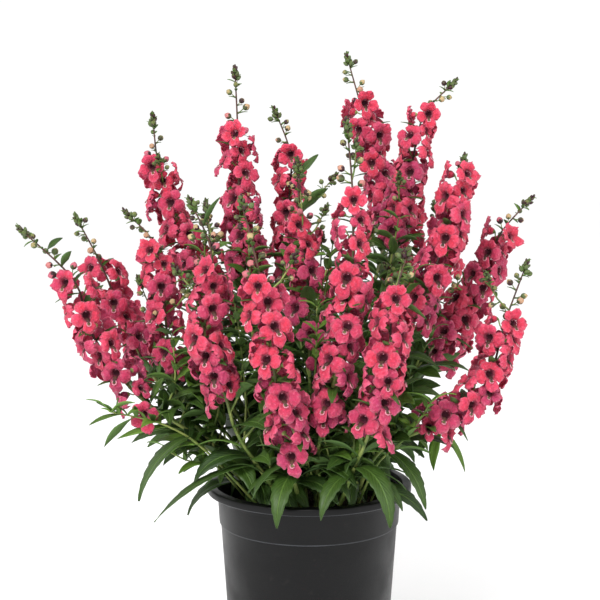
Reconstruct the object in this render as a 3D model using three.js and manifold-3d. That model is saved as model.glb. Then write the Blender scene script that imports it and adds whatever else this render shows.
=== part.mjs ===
// Angelonia in flower in a black nursery pot.
// Millimetres, +Z up, origin at the centre of the underside of the pot.

import * as THREE from 'three';
import { mergeVertices } from 'three/addons/utils/BufferGeometryUtils.js';
import Module from 'manifold-3d';

// Pot
const POT_HEIGHT = 145;
const POT_BASE_RADIUS = 57.7;
const LEDGE_HEIGHT = 116;
const LEDGE_RADIUS = 65.6;
const LEDGE_WIDTH = 1.1;
const COLLAR_RADIUS = 68.1;
const LIP_RADIUS = 76;
const LIP_DEPTH = 5.5;
const LIP_ROUND = 1.5;
const WALL = 1.4;
const FLOOR = 2;
const POT_SIDES = 24;
const DRAIN_COUNT = 4;
const DRAIN_RADIUS = 5;
const DRAIN_CIRCLE = 42;
const DRAIN_SIDES = 6;

// Soil, and the holes that the stems stand in
const SOIL_LEVEL = 126;
const SOIL_EDGE_DROP = 3;
const HOLE_DEPTH = 14;
const HOLE_SPARE = 5;
const FIT_GAP = 0.3;

// Plant label pushed into the soil behind the stems
const LABEL_WIDTH = 10;
const LABEL_THICKNESS = 1;
const LABEL_LENGTH = 78;
const LABEL_DEPTH = 16;
const LABEL_FOOT = [-37, 39];
const LABEL_LEAN = [-26, 4];

// Stems: distance from the middle to a corner of the section, near the tip and at the foot
const STEM_SIDES = 3;
const STEM_TIP_RADIUS = 0.6;
const STEM_GROWTH = 0.0055;
const STEM_FOOT_RADIUS = 2.1;
const STATION_STEP = 60;
const STEM_STANDS = 2;
const STEM_STRAIGHT = 4;
const TIP_CLUSTER = { length: 9, widest: 5, radius: 2.3 };

// Flowers: size, how far they stand out from and above their root on the stem, and how they
// turn round the stem: by golden-angle steps drawn together towards the side the spike faces
const FLOWER_RADIUS = 12.3;
const YOUNG_FLOWER = 0.84;
const FLOWER_REACH = 11.5;
const FLOWER_RISE = 4.5;
const FLOWER_TILT = 0.3;
const GOLDEN_ANGLE = 137.5;
const FACING_BIAS = 0.42;
const FLOWER_JITTER = 8;

// Flower outline: two upper lobes, two wide side lobes and the lip, as angle from the top,
// distance from the middle and height forwards, both in flower radii. The right half is mirrored.
const HALF_OUTLINE = [
  [27, 0.92, 0.02],
  [62, 0.58, 0.02],
  [83, 0.97, 0.1],
  [117, 1.0, 0.12],
  [140, 0.62, 0.08],
  [161, 1.04, 0.26],
];
const TOP_NOTCH = [0, 0.68, 0.02];
const THROAT = { up: 0.1, deep: 0.26 };
const FLOWER_BACK = { up: 0.08, deep: 0.48, radius: 0.15, sides: 3 };

// Slim core of each bloom, round the stem that it stands on
const CORE_WALL = 1.3;
const CORE_GAP = 0.62;

// Buds and their stalks, up to the tip of the spike
const BUD_STEP = 11.5;
const BUD_STALK = 6;
const BUD_RADIUS = 2.4;
const YOUNG_BUD = { size: 0.62, until: 45 };
const BUD_LIFT = 0.55;

// Leaf: a keeled blade with saw teeth on the larger ones. Edges are pairs of place along the
// midrib and half width, both as fractions.
const TOOTHED_EDGE = [[0.14, 0.42], [0.44, 1], [0.55, 0.78], [0.74, 0.66]];
const PLAIN_EDGE = [[0.16, 0.5], [0.45, 1], [0.75, 0.62]];
const TOOTHED_RIB = [0.34, 0.7];
const PLAIN_RIB = [0.46];
const TOOTHED_FROM = 38;
const LEAF_RATIO = 0.26;
const LEAF_FOLD = 0.16;
const LEAF_THICKNESS = 0.9;
const LEAF_STEPS = 12;

// Leaves below the flowers, from the highest to the lowest on a stem: turn away from the side
// that the spike faces, slope at the root, bend down to the tip, length and sideways roll
const STEM_LEAVES = {
  below_bloom: 8, above_soil: 10,
  spread: [35, 85], rise: [40, 18], bend: [60, 105], length: [42, 60], roll: [0, 35],
};

// Leaves of a leafy shoot, from the tip down
const SHOOT_LEAVES = {
  lowest: 0.7,
  rise: [50, 25], bend: [50, 70], size: [0.6, 1.25], roll: [-30, 30], turn: [-20, 20],
};

// Clearance kept between pieces of different nodes while they are placed
const CLEARANCE = 0.35;

// Flowering stems. foot: where the stem leaves the soil; path: points up to the tip;
// bloom: flowers reach from the first to the second distance below the tip;
// facing: azimuth that most of its flowers turn to; leaves: how many grow below the flowers.
const SPIKES = [
  {
    name: 'front_left', facing: 265, bloom: [62, 188], flowers: 14, leaves: 1,
    foot: [-4, -36],
    path: [[-12, -62, 169], [-8, -85, 193], [-22, -99, 235], [-31, -98, 297], [-46, -80, 357]],
  },
  {
    name: 'front_tall', facing: 265, bloom: [62, 218], flowers: 15, leaves: 1,
    foot: [8, -30],
    path: [[6, -60, 182], [14, -84, 224], [26, -88, 289], [29, -62, 351], [25, -46, 410]],
  },
  {
    name: 'front_right', facing: 280, bloom: [40, 136], flowers: 12, leaves: 1,
    foot: [18, -40],
    path: [[30, -72, 172], [38, -94, 200], [50, -104, 249], [54, -90, 286], [66, -76, 323]],
  },
  {
    name: 'left_front', facing: 255, bloom: [58, 152], flowers: 11, leaves: 3,
    foot: [-13, -24],
    path: [[-48, -50, 187], [-57, -70, 221], [-70, -80, 262], [-66, -66, 317], [-83, -50, 356]],
  },
  {
    name: 'right_front', facing: 290, bloom: [48, 150], flowers: 13, leaves: 3,
    foot: [29, -24],
    path: [[48, -50, 178], [84, -62, 200], [121, -55, 227], [136, -45, 270], [153, -35, 312]],
  },
  {
    name: 'left_outer', facing: 245, bloom: [54, 152], flowers: 11, leaves: 4,
    foot: [-28, -10],
    path: [[-82, -25, 184], [-123, -40, 219], [-153, -45, 264], [-163, -45, 298], [-203, -40, 336]],
  },
  {
    name: 'right_inner', facing: 280, bloom: [14, 136], flowers: 13, leaves: 4,
    foot: [22, -9],
    path: [[44, -18, 210], [75, -25, 272], [97, -25, 329], [110, -21, 386]],
  },
  {
    name: 'left_inner', facing: 250, bloom: [38, 128], flowers: 10, leaves: 3,
    foot: [-17, -5],
    path: [[-88, -12, 196], [-101, -20, 250], [-109, -15, 317], [-133, -15, 347]],
  },
  {
    name: 'centre_slim', facing: 270, bloom: [48, 104], flowers: 5, leaves: 3,
    foot: [5, -9],
    path: [[1, -13, 208], [-1, -16, 289], [-7, -10, 347], [-9, -5, 384]],
  },
  {
    name: 'right_tall', facing: 285, bloom: [36, 134], flowers: 11, leaves: 3,
    foot: [15, 5],
    path: [[42, 8, 216], [66, 12, 335], [76, 18, 379], [85, 20, 416], [109, 20, 442]],
  },
  {
    name: 'right_outer', facing: 300, bloom: [38, 134], flowers: 11, leaves: 3,
    foot: [30, 6],
    path: [[62, 12, 200], [108, 20, 263], [130, 24, 293], [143, 25, 327], [169, 30, 356]],
  },
  {
    name: 'left_low', facing: 230, bloom: [42, 124], flowers: 8, leaves: 3,
    foot: [-28, 6],
    path: [[-81, 6, 183], [-119, 10, 226], [-140, 15, 268], [-155, 18, 305], [-175, 20, 343]],
  },
  {
    name: 'left_tall', facing: 260, bloom: [50, 164], flowers: 12, leaves: 2,
    foot: [-8, 5],
    path: [[-35, 10, 216], [-48, 20, 301], [-52, 25, 353], [-53, 25, 403], [-55, 25, 452]],
  },
  {
    name: 'centre', facing: 275, bloom: [40, 138], flowers: 11, leaves: 3,
    foot: [-2, 17],
    path: [[-14, 25, 213], [-12, 40, 306], [-15, 48, 349], [-14, 50, 388], [-27, 50, 424]],
  },
  {
    name: 'left_high', facing: 245, bloom: [40, 138], flowers: 10, leaves: 3,
    foot: [-17, 16],
    path: [[-66, 24, 214], [-87, 38, 296], [-103, 44, 336], [-115, 45, 380], [-119, 45, 419]],
  },
  {
    name: 'centre_tall', facing: 280, bloom: [42, 150], flowers: 12, leaves: 3,
    foot: [9, 16],
    path: [[28, 35, 211], [62, 58, 334], [53, 64, 384], [40, 65, 428], [29, 65, 466]],
  },
  {
    name: 'back_1', facing: 140, bloom: [44, 108], flowers: 6, leaves: 3,
    foot: [-11, 28],
    path: [[-54, 50, 197], [-70, 80, 248], [-78, 93, 302], [-83, 95, 353]],
  },
  {
    name: 'back_2', facing: 90, bloom: [34, 94], flowers: 6, leaves: 3,
    foot: [4, 37],
    path: [[2, 62, 195], [6, 98, 246], [10, 116, 290], [12, 120, 326]],
  },
  {
    name: 'back_3', facing: 60, bloom: [38, 118], flowers: 7, leaves: 3,
    foot: [16, 30],
    path: [[31, 60, 195], [68, 95, 271], [84, 107, 340], [86, 110, 381]],
  },
  {
    name: 'back_4', facing: 30, bloom: [34, 104], flowers: 6, leaves: 3,
    foot: [26, 22],
    path: [[47, 46, 197], [90, 80, 265], [115, 92, 324], [121, 95, 361]],
  },
  {
    name: 'back_5', facing: 0, bloom: [30, 94], flowers: 6, leaves: 3,
    foot: [38, 14],
    path: [[64, 40, 191], [104, 60, 231], [134, 68, 274], [141, 70, 304]],
  },
  {
    name: 'back_6', facing: 180, bloom: [28, 92], flowers: 6, leaves: 3,
    foot: [-28, 20],
    path: [[-73, 42, 183], [-118, 65, 214], [-148, 78, 265], [-153, 80, 293]],
  },
  {
    name: 'back_7', facing: 120, bloom: [38, 118], flowers: 7, leaves: 3,
    foot: [-6, 40],
    path: [[-28, 62, 196], [-45, 88, 272], [-51, 97, 340], [-53, 100, 381]],
  },
];

// Leafy shoots without flowers, with pairs of leaves up to the tip
const SHOOTS = [
  {
    name: 'left', pairs: 3, leaf: 34,
    foot: [-32, -26],
    path: [[-72, -50, 179], [-100, -64, 201], [-136, -73, 212]],
  },
  {
    name: 'right', pairs: 3, leaf: 32,
    foot: [31, -36],
    path: [[46, -56, 170], [66, -70, 194], [82, -80, 221]],
  },
  {
    name: 'middle', pairs: 3, leaf: 24,
    foot: [-3, -22],
    path: [[0, -38, 190], [4, -52, 240], [5, -56, 283]],
  },
  {
    name: 'low_left', pairs: 2, leaf: 34,
    foot: [-40, -14],
    path: [[-66, -40, 166], [-84, -50, 172], [-98, -54, 180]],
  },
  {
    name: 'low_right', pairs: 2, leaf: 36,
    foot: [44, -8],
    path: [[62, -10, 170], [84, -8, 182], [104, -6, 190]],
  },
];

// Large leaves in front, which hang over the rim of the pot. up: distance of the root above
// the foot of the stem; ratio: width to length
const RIM_LEAVES = [
  { node: 'stem_front_right', up: 58, angle: 300, rise: 20, bend: 112, length: 62, roll: 0, ratio: 0.26 },
  { node: 'stem_front_right', up: 50, angle: 235, rise: 15, bend: 92, length: 50, roll: -10, ratio: 0.24 },
  { node: 'stem_front_left', up: 44, angle: 252, rise: 25, bend: 118, length: 56, roll: 0, ratio: 0.26 },
  { node: 'stem_front_left', up: 58, angle: 205, rise: 10, bend: 85, length: 42, roll: 10, ratio: 0.3 },
  { node: 'stem_front_tall', up: 48, angle: 318, rise: 5, bend: 60, length: 44, roll: -15, ratio: 0.26 },
  { node: 'stem_right_front', up: 66, angle: 305, rise: -5, bend: 68, length: 54, roll: 0, ratio: 0.24 },
  { node: 'stem_left_front', up: 50, angle: 208, rise: 2, bend: 48, length: 86, roll: 0, ratio: 0.12 },
  { node: 'shoot_left', up: 88, angle: 222, rise: -12, bend: 62, length: 58, roll: 10, ratio: 0.27 },
];

const wasm = await Module();
wasm.setup();
const { Manifold } = wasm;
const UP = new THREE.Vector3(0, 0, 1);
const RIGHT = new THREE.Vector3(1, 0, 0);

// Small helpers

function degrees(angle) {
  return (angle * Math.PI) / 180;
}

function mix(a, b, t) {
  return a + (b - a) * t;
}

// A repeatable draw from 0 to 1
function draw(seed, kind) {
  const wave = Math.sin(seed * 12.9898 + kind * 78.233) * 43758.5453;
  return wave - Math.floor(wave);
}

function heading(angle) {
  return new THREE.Vector3(Math.cos(degrees(angle)), Math.sin(degrees(angle)), 0);
}

function along(origin, ...steps) {
  const place = origin.clone();
  for (const [direction, distance] of steps) place.addScaledVector(direction, distance);
  return place;
}

function blend(...steps) {
  return along(new THREE.Vector3(), ...steps);
}

function volumeOf(points, faces) {
  let total = 0;
  for (const [a, b, c] of faces) {
    total += points[a].dot(new THREE.Vector3().crossVectors(points[b], points[c]));
  }
  return total / 6;
}

// A closed solid from points and triangles, turned the right way out
function solid(points, faces) {
  const outward = volumeOf(points, faces) > 0;
  const triVerts = new Uint32Array(faces.flatMap(([a, b, c]) => (outward ? [a, b, c] : [a, c, b])));
  const vertProperties = new Float32Array(points.flatMap((p) => [p.x, p.y, p.z]));
  return new Manifold(new wasm.Mesh({ numProp: 3, vertProperties, triVerts }));
}

// A three.js geometry as a solid
function solidOf(geometry) {
  const bare = geometry.clone();
  bare.deleteAttribute('normal');
  bare.deleteAttribute('uv');
  const merged = mergeVertices(bare, 1e-4);
  const vertProperties = new Float32Array(merged.attributes.position.array);
  const triVerts = new Uint32Array(merged.index.array);
  return new Manifold(new wasm.Mesh({ numProp: 3, vertProperties, triVerts }));
}

// Skin over a row of rings that have the same number of points; an end may be one point
function loft(rings) {
  const points = rings.flat();
  const faces = [];
  let start = 0;
  for (let k = 0; k + 1 < rings.length; k += 1) {
    const here = rings[k].length;
    const next = rings[k + 1].length;
    const above = start + here;
    for (let i = 0; i < Math.max(here, next); i += 1) {
      const j = (i + 1) % Math.max(here, next);
      if (here > 1) faces.push([start + i, start + j, above + (next > 1 ? j : 0)]);
      if (next > 1) faces.push([start + (here > 1 ? i : 0), above + j, above + i]);
    }
    start = above;
  }
  const last = rings.at(-1).length;
  for (let i = 1; i + 1 < rings[0].length; i += 1) faces.push([0, i + 1, i]);
  for (let i = 1; i + 1 < last; i += 1) faces.push([start, start + i, start + i + 1]);
  return solid(points, faces);
}

// Ring of points round a centre, across an axis
function ring(centre, axis, radius, sides) {
  const side = along(RIGHT, [axis, -axis.dot(RIGHT)]).normalize();
  const front = new THREE.Vector3().crossVectors(axis, side);
  return Array.from({ length: sides }, (_, i) => {
    const turn = (2 * Math.PI * i) / sides;
    return along(centre, [side, radius * Math.cos(turn)], [front, radius * Math.sin(turn)]);
  });
}

// Pot

function pot() {
  const inside = LEDGE_RADIUS - WALL;
  const profile = [
    [0, 0],
    [POT_BASE_RADIUS, 0],
    [LEDGE_RADIUS, LEDGE_HEIGHT],
    [LEDGE_RADIUS + LEDGE_WIDTH, LEDGE_HEIGHT],
    [COLLAR_RADIUS, POT_HEIGHT - LIP_DEPTH],
    [LIP_RADIUS, POT_HEIGHT - LIP_DEPTH],
    [LIP_RADIUS, POT_HEIGHT - LIP_ROUND],
    [LIP_RADIUS - LIP_ROUND, POT_HEIGHT],
    [inside + LIP_DEPTH, POT_HEIGHT - LIP_ROUND],
    [inside, LEDGE_HEIGHT],
    [POT_BASE_RADIUS - WALL, FLOOR],
    [0, FLOOR],
  ].map(([r, z]) => new THREE.Vector2(r, z));
  const shell = new THREE.LatheGeometry(profile, POT_SIDES).rotateX(Math.PI / 2);
  let body = solidOf(shell);
  for (let i = 0; i < DRAIN_COUNT; i += 1) {
    const place = heading((360 * (i + 0.5)) / DRAIN_COUNT).multiplyScalar(DRAIN_CIRCLE);
    const drill = new THREE.CylinderGeometry(DRAIN_RADIUS, DRAIN_RADIUS, 4 * FLOOR, DRAIN_SIDES);
    body = body.subtract(solidOf(drill.rotateX(Math.PI / 2).translate(place.x, place.y, 0)));
  }
  return body;
}

// Soil filling the pot up to a low mound

function soilMound() {
  const bottom = FLOOR + FIT_GAP;
  const top = SOIL_LEVEL - SOIL_EDGE_DROP;
  const slope = (LEDGE_RADIUS - POT_BASE_RADIUS) / LEDGE_HEIGHT;
  const radiusAt = (z) => POT_BASE_RADIUS + slope * z - WALL - 2 * FIT_GAP;
  const profile = [[0, bottom], [radiusAt(bottom), bottom], [radiusAt(top), top], [0, SOIL_LEVEL]];
  const outline = profile.map(([r, z]) => new THREE.Vector2(r, z));
  return solidOf(new THREE.LatheGeometry(outline, POT_SIDES).rotateX(Math.PI / 2));
}

// Plain hole in the soil that one stem stands in
function stemHole(line) {
  const radius = stemRadius(line.length) + CORE_GAP;
  return loft([SOIL_LEVEL - HOLE_DEPTH - FIT_GAP, SOIL_LEVEL + HOLE_SPARE].map((z) =>
    ring(new THREE.Vector3(...line.foot, z), UP, radius, STEM_SIDES)));
}

// Plant label: a bare strip that leans, with its foot in the soil

function label(grow) {
  const foot = new THREE.Vector3(...LABEL_FOOT, SOIL_LEVEL - LABEL_DEPTH - grow);
  const top = foot.clone().add(new THREE.Vector3(...LABEL_LEAN, LABEL_LENGTH));
  const x = LABEL_WIDTH / 2 + grow;
  const y = LABEL_THICKNESS / 2 + grow;
  const corners = [[-x, -y], [x, -y], [x, y], [-x, y]];
  return loft([foot, top].map((end) =>
    corners.map(([dx, dy]) => end.clone().add(new THREE.Vector3(dx, dy, 0)))));
}

// Centre line of a stem

// Depths from one to another, no more than a station step apart, without the last
function stations(from, to) {
  const count = Math.ceil((to - from) / STATION_STEP);
  return Array.from({ length: count }, (_, i) => mix(from, to, i / count));
}

// Point on a row of points at a distance along it, with the distance of each point given
function pointAlong(points, depths, depth) {
  const wanted = Math.min(Math.max(depth, 0), depths.at(-1) - 1e-6);
  const i = depths.findIndex((d) => d > wanted);
  return points[i - 1].clone().lerp(points[i], (wanted - depths[i - 1]) / (depths[i] - depths[i - 1]));
}

// The line is measured in millimetres down from its tip. It is straight between the stations,
// where the rings of the stem and of the core of its bloom lie.
function centreLine(foot, path, bloom) {
  const start = new THREE.Vector3(...foot, SOIL_LEVEL + STEM_STANDS);
  const stops = [start, ...path.map((p) => new THREE.Vector3(...p))].reverse();
  const fine = new THREE.CatmullRomCurve3(stops, false, 'catmullrom', 0.5).getPoints(24 * path.length);
  const fineDepths = [0];
  for (let i = 1; i < fine.length; i += 1) {
    fineDepths.push(fineDepths[i - 1] + fine[i].distanceTo(fine[i - 1]));
  }
  const length = fineDepths.at(-1);
  const last = length - STEM_STRAIGHT;
  const ends = [TIP_CLUSTER.length, ...bloom, last];
  const marks = [0, TIP_CLUSTER.widest];
  for (let i = 0; i + 1 < ends.length; i += 1) marks.push(...stations(ends[i], ends[i + 1]));
  marks.push(last, length);
  const corners = marks.map((depth) => pointAlong(fine, fineDepths, depth));
  const at = (depth) => pointAlong(corners, marks, depth);
  const tangent = (depth) => at(depth - 2).sub(at(depth + 2)).normalize();
  return { length, marks, at, tangent, foot };
}

// Stems

function stemRadius(depth) {
  return Math.min(STEM_TIP_RADIUS + STEM_GROWTH * depth, STEM_FOOT_RADIUS);
}

function stemRing(line, depth, extra) {
  return ring(line.at(depth), line.tangent(depth), stemRadius(depth) + extra, STEM_SIDES);
}

// From below its tip down to the end that stands in the soil
function lowerRings(line) {
  const upper = line.marks.slice(2, -1).map((depth) => stemRing(line, depth, 0));
  const foot = [SOIL_LEVEL + 1, SOIL_LEVEL - HOLE_DEPTH].map((z) =>
    ring(new THREE.Vector3(...line.foot, z), UP, stemRadius(line.length), STEM_SIDES));
  return [...upper, ...foot];
}

// Stem of a spike, with a tight cluster of young buds at its tip
function spikeStem(line) {
  const { widest, radius } = TIP_CLUSTER;
  const cluster = ring(line.at(widest), line.tangent(widest), radius, STEM_SIDES);
  return loft([[line.at(0)], cluster, ...lowerRings(line)]);
}

function shootStem(line) {
  return loft([[line.at(0)], ...lowerRings(line)]);
}

// Tube round a stem from one depth to another; spare lengthens it at both ends
function tube(line, [top, bottom], extra, spare) {
  const marks = line.marks.filter((depth) => depth > top - 1e-6 && depth < bottom + 1e-6);
  const rings = marks.map((depth) => stemRing(line, depth, extra));
  if (spare > 0) {
    rings.unshift(rings[0].map((p) => along(p, [line.tangent(top), spare])));
    rings.push(rings.at(-1).map((p) => along(p, [line.tangent(bottom), -spare])));
  }
  return loft(rings);
}

// Flowers

function flowerOutline() {
  const mirrored = HALF_OUTLINE.map(([angle, r, z]) => [360 - angle, r, z]).reverse();
  return [TOP_NOTCH, ...HALF_OUTLINE, ...mirrored];
}

// Direction away from the stem at a depth, square to the stem
function outward(line, depth, angle) {
  const tangent = line.tangent(depth);
  return along(heading(angle), [tangent, -heading(angle).dot(tangent)]).normalize();
}

// Place and facing of one flower on its stem
function flowerFrame(line, depth, { angle, tilt, reach, rise }) {
  const root = line.at(depth);
  const tangent = line.tangent(depth);
  const out = outward(line, depth, angle);
  const middle = along(root, [out, reach], [tangent, rise]);
  const face = new THREE.Vector3(out.x, out.y, out.z * 0.4 + tilt).normalize();
  const lean = blend([UP, 0.7], [tangent, 0.3]);
  const up = along(lean, [face, -lean.dot(face)]).normalize();
  const side = new THREE.Vector3().crossVectors(up, face);
  return { root, middle, face, up, side };
}

// Cupped face of five lobes with a sunken throat, and a back that narrows to the root
function flower({ root, middle, face, up, side }, radius, grow) {
  const spot = (angle, reach, forward, raise) => along(middle,
    [side, reach * Math.sin(degrees(angle))],
    [up, reach * Math.cos(degrees(angle)) + raise],
    [face, forward]);
  const outline = flowerOutline().map(([angle, r, z]) => spot(angle, r * radius + grow, z * radius, 0));
  const throat = spot(0, 0, grow - THROAT.deep * radius, THROAT.up * radius);
  const { sides } = FLOWER_BACK;
  const back = Array.from({ length: sides }, (_, i) => spot((360 * i) / sides,
    FLOWER_BACK.radius * radius + grow, -FLOWER_BACK.deep * radius - grow, FLOWER_BACK.up * radius));
  const count = outline.length;
  const nearest = (i) => Math.floor((i * sides) / count + 0.5);
  const backOf = (i) => count + 1 + (nearest(i) % sides);
  const faces = [];
  for (let i = 0; i < count; i += 1) {
    const j = (i + 1) % count;
    faces.push([i, j, count]);
    faces.push([j, i, backOf(i)]);
    if (nearest(i + 1) !== nearest(i)) faces.push([j, backOf(i), backOf(i + 1)]);
  }
  const tip = count + 1 + sides;
  for (let k = 0; k < sides; k += 1) faces.push([count + 1 + ((k + 1) % sides), count + 1 + k, tip]);
  return solid([...outline, throat, ...back, root], faces);
}

// Bud: thin stalk from the middle of the stem, then a round bud

function bud(line, depth, angle, size, grow) {
  const root = line.at(depth);
  const way = along(outward(line, depth, angle), [line.tangent(depth), BUD_LIFT]).normalize();
  const neck = along(root, [way, BUD_STALK * size]);
  const belly = along(neck, [way, BUD_RADIUS * size]);
  const tip = along(belly, [way, 1.3 * BUD_RADIUS * size + grow]);
  return loft([
    [root],
    ring(neck, way, 0.5 + grow, STEM_SIDES),
    ring(belly, way, BUD_RADIUS * size + grow, STEM_SIDES),
    [tip],
  ]);
}

// Leaves

// Midrib that starts along a heading and bends down evenly, with the directions across it
function leafArc(root, { angle, rise, bend, length, roll }) {
  const out = heading(angle);
  const across = new THREE.Vector3().crossVectors(UP, out);
  const step = length / LEAF_STEPS;
  const points = [root.clone()];
  for (let i = 0; i < LEAF_STEPS; i += 1) {
    const turn = degrees(rise - (bend * (i + 0.5)) / LEAF_STEPS);
    points.push(along(points[i], [out, Math.cos(turn) * step], [UP, Math.sin(turn) * step]));
  }
  return (f) => {
    const spot = Math.min(f * LEAF_STEPS, LEAF_STEPS - 1e-6);
    const i = Math.floor(spot);
    const turn = degrees(rise - bend * f);
    const face = blend([out, -Math.sin(turn)], [UP, Math.cos(turn)]);
    const tilt = degrees(roll * Math.min(2 * f, 1));
    return {
      at: points[i].clone().lerp(points[i + 1], spot - i),
      side: blend([across, Math.cos(tilt)], [face, Math.sin(tilt)]),
      normal: blend([face, Math.cos(tilt)], [across, -Math.sin(tilt)]),
    };
  };
}

function leaf(root, shape, grow) {
  const arc = leafArc(root, shape);
  const toothed = shape.length > TOOTHED_FROM;
  const edge = toothed ? TOOTHED_EDGE : PLAIN_EDGE;
  const rib = (toothed ? TOOTHED_RIB : PLAIN_RIB).map((f) => [f, 0]);
  const half = (shape.length * shape.ratio) / 2;
  const points = [arc(0).at, arc(1).at];
  const chain = (list, spotFor) => {
    const row = list.map(([f, w]) => {
      points.push(spotFor(arc(f), w));
      return { f, index: points.length - 1 };
    });
    return [{ f: 0, index: 0 }, ...row, { f: 1, index: 1 }];
  };
  const edgeRow = (sign) => chain(edge, (spot, w) => along(spot.at,
    [spot.side, sign * (w * half + grow)], [spot.normal, LEAF_FOLD * w * half]));
  const ribRow = (lift) => chain(rib, (spot) => along(spot.at, [spot.normal, lift]));
  const left = edgeRow(1);
  const right = edgeRow(-1);
  const top = ribRow(grow);
  const under = ribRow(-LEAF_THICKNESS - grow);
  return solid(points, [...zip(left, top), ...zip(top, right), ...zip(right, under), ...zip(under, left)]);
}

// Triangles between two rows of points that share their first and last point
function zip(a, b) {
  const faces = [[a[0].index, b[1].index, a[1].index]];
  let i = 1;
  let j = 1;
  while (i + 2 < a.length || j + 2 < b.length) {
    const stepA = j + 2 >= b.length || (i + 2 < a.length && a[i + 1].f <= b[j + 1].f);
    faces.push([a[i].index, b[j].index, stepA ? a[i + 1].index : b[j + 1].index]);
    if (stepA) i += 1;
    else j += 1;
  }
  faces.push([a[i].index, b[j].index, a[i + 1].index]);
  return faces;
}

// Placing: a piece is tried in several positions, and the first that clears its neighbours is used

const placed = [];

function place(node, piece) {
  placed.push({ node, solid: piece, box: piece.boundingBox() });
}

function boxesMeet(a, b) {
  return [0, 1, 2].every((i) => a.min[i] < b.max[i] && b.min[i] < a.max[i]);
}

function isClear(trial, ownNodes) {
  const box = trial.boundingBox();
  return placed.every((other) => {
    if (ownNodes.includes(other.node) || !boxesMeet(box, other.box)) return true;
    const shared = other.solid.intersect(trial);
    const empty = shared.isEmpty();
    shared.delete();
    return empty;
  });
}

// build makes the piece for one set of changes, with room added round it. A piece may touch
// its own nodes, and one that is clear in no position is left out.
function placeFirstClear(node, ownNodes, changes, build) {
  for (const change of changes) {
    const trial = build(change, CLEARANCE);
    const clear = isClear(trial, ownNodes);
    trial.delete();
    if (clear) {
      place(node, build(change, 0));
      return;
    }
  }
}

// Every choice of one value from each list, the last list changing fastest
function combinations(lists) {
  let choices = [{}];
  for (const [key, values] of Object.entries(lists)) {
    choices = choices.flatMap((choice) => values.map((value) => ({ ...choice, [key]: value })));
  }
  return choices;
}

const FLOWER_CHANGES = combinations({
  reach: [0, 2.2, -1],
  rise: [0, 3, -3],
  turn: [0, 12, -12, 24, -24, 36, -36],
});
const BUD_CHANGES = combinations({ turn: [0, 35, -35, 70, -70, 110, -110] });
const LEAF_CHANGES = combinations({
  size: [1, 0.85],
  lift: [0, 14, -14],
  turn: [0, 14, -14, 28, -28, 42, -42],
});

function flowerAngle(index, facing) {
  const turn = ((index * GOLDEN_ANGLE + 180) % 360) - 180;
  return facing + turn - FACING_BIAS * Math.sin(degrees(turn)) * (180 / Math.PI);
}

// Flowers of one spike, which clear each other as well as their neighbours
function placeFlowers(spike, line, seed) {
  const own = [`stem_${spike.name}`, `core_${spike.name}`];
  for (let i = 0; i < spike.flowers; i += 1) {
    const f = (i + 0.5) / spike.flowers;
    const depth = mix(...spike.bloom, f);
    const angle = flowerAngle(i, spike.facing) + mix(-FLOWER_JITTER, FLOWER_JITTER, draw(seed + i, 1));
    const tilt = FLOWER_TILT * draw(seed + i, 2);
    const radius = FLOWER_RADIUS * mix(YOUNG_FLOWER, 1, Math.min(3 * f, 1));
    const build = (change, grow) => flower(flowerFrame(line, depth, {
      angle: angle + change.turn,
      tilt,
      reach: FLOWER_REACH + change.reach,
      rise: FLOWER_RISE + change.rise,
    }), radius, grow);
    placeFirstClear(`bloom_${spike.name}`, own, FLOWER_CHANGES, build);
  }
}

function placeBuds(spike, line, seed) {
  const node = `stem_${spike.name}`;
  const last = spike.bloom[0] - 2;
  for (let i = 0, depth = TIP_CLUSTER.length + 2; depth < last; i += 1, depth += BUD_STEP) {
    const angle = 97 * seed + GOLDEN_ANGLE * i;
    const size = mix(YOUNG_BUD.size, 1, Math.min(depth / YOUNG_BUD.until, 1));
    const build = ({ turn }, grow) => bud(line, depth, angle + turn, size, grow);
    placeFirstClear(node, [node], BUD_CHANGES, build);
  }
}

function placeLeaf(node, root, shape) {
  const build = ({ turn, lift, size }, grow) => leaf(root, {
    ...shape,
    angle: shape.angle + turn,
    rise: shape.rise + lift,
    length: shape.length * size,
  }, grow);
  placeFirstClear(node, [node], LEAF_CHANGES, build);
}

// Leaves below the flowers, to the left and right of the side that the spike faces
function placeLeaves(spike, line, seed) {
  const { below_bloom, above_soil, spread, rise, bend, length, roll } = STEM_LEAVES;
  for (let i = 0; i < spike.leaves; i += 1) {
    const low = (i + 0.5) / spike.leaves;
    const side = i % 2 === 0 ? 1 : -1;
    const depth = mix(spike.bloom[1] + below_bloom, line.length - above_soil, low);
    placeLeaf(`stem_${spike.name}`, line.at(depth), {
      angle: spike.facing + side * mix(...spread, draw(seed + i, 3)),
      rise: mix(...rise, low),
      bend: mix(...bend, low) * mix(0.85, 1.15, draw(seed + i, 4)),
      length: mix(...length, low) * mix(0.9, 1.08, draw(seed + i, 5)),
      roll: side * mix(...roll, draw(seed + i, 6)),
      ratio: LEAF_RATIO,
    });
  }
}

function placeRimLeaf(rimLeaf, line) {
  placeLeaf(rimLeaf.node, line.at(line.length - rimLeaf.up), rimLeaf);
}

// Pairs of leaves up to the tip of a shoot, each pair turned a quarter from the last
function placeShootLeaves(shoot, line, seed) {
  const { lowest, rise, bend, size, roll, turn } = SHOOT_LEAVES;
  for (let i = 0; i < shoot.pairs; i += 1) {
    const f = i / shoot.pairs;
    for (const half of [0, 180]) {
      placeLeaf(`shoot_${shoot.name}`, line.at(mix(2, lowest * line.length, f)), {
        angle: 90 * (i % 2) + half + mix(...turn, draw(seed + i, half)),
        rise: mix(...rise, f),
        bend: mix(...bend, draw(seed + i, half + 1)),
        length: shoot.leaf * mix(...size, f),
        roll: mix(...roll, draw(seed + i, half + 2)),
        ratio: LEAF_RATIO,
      });
    }
  }
}

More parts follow.
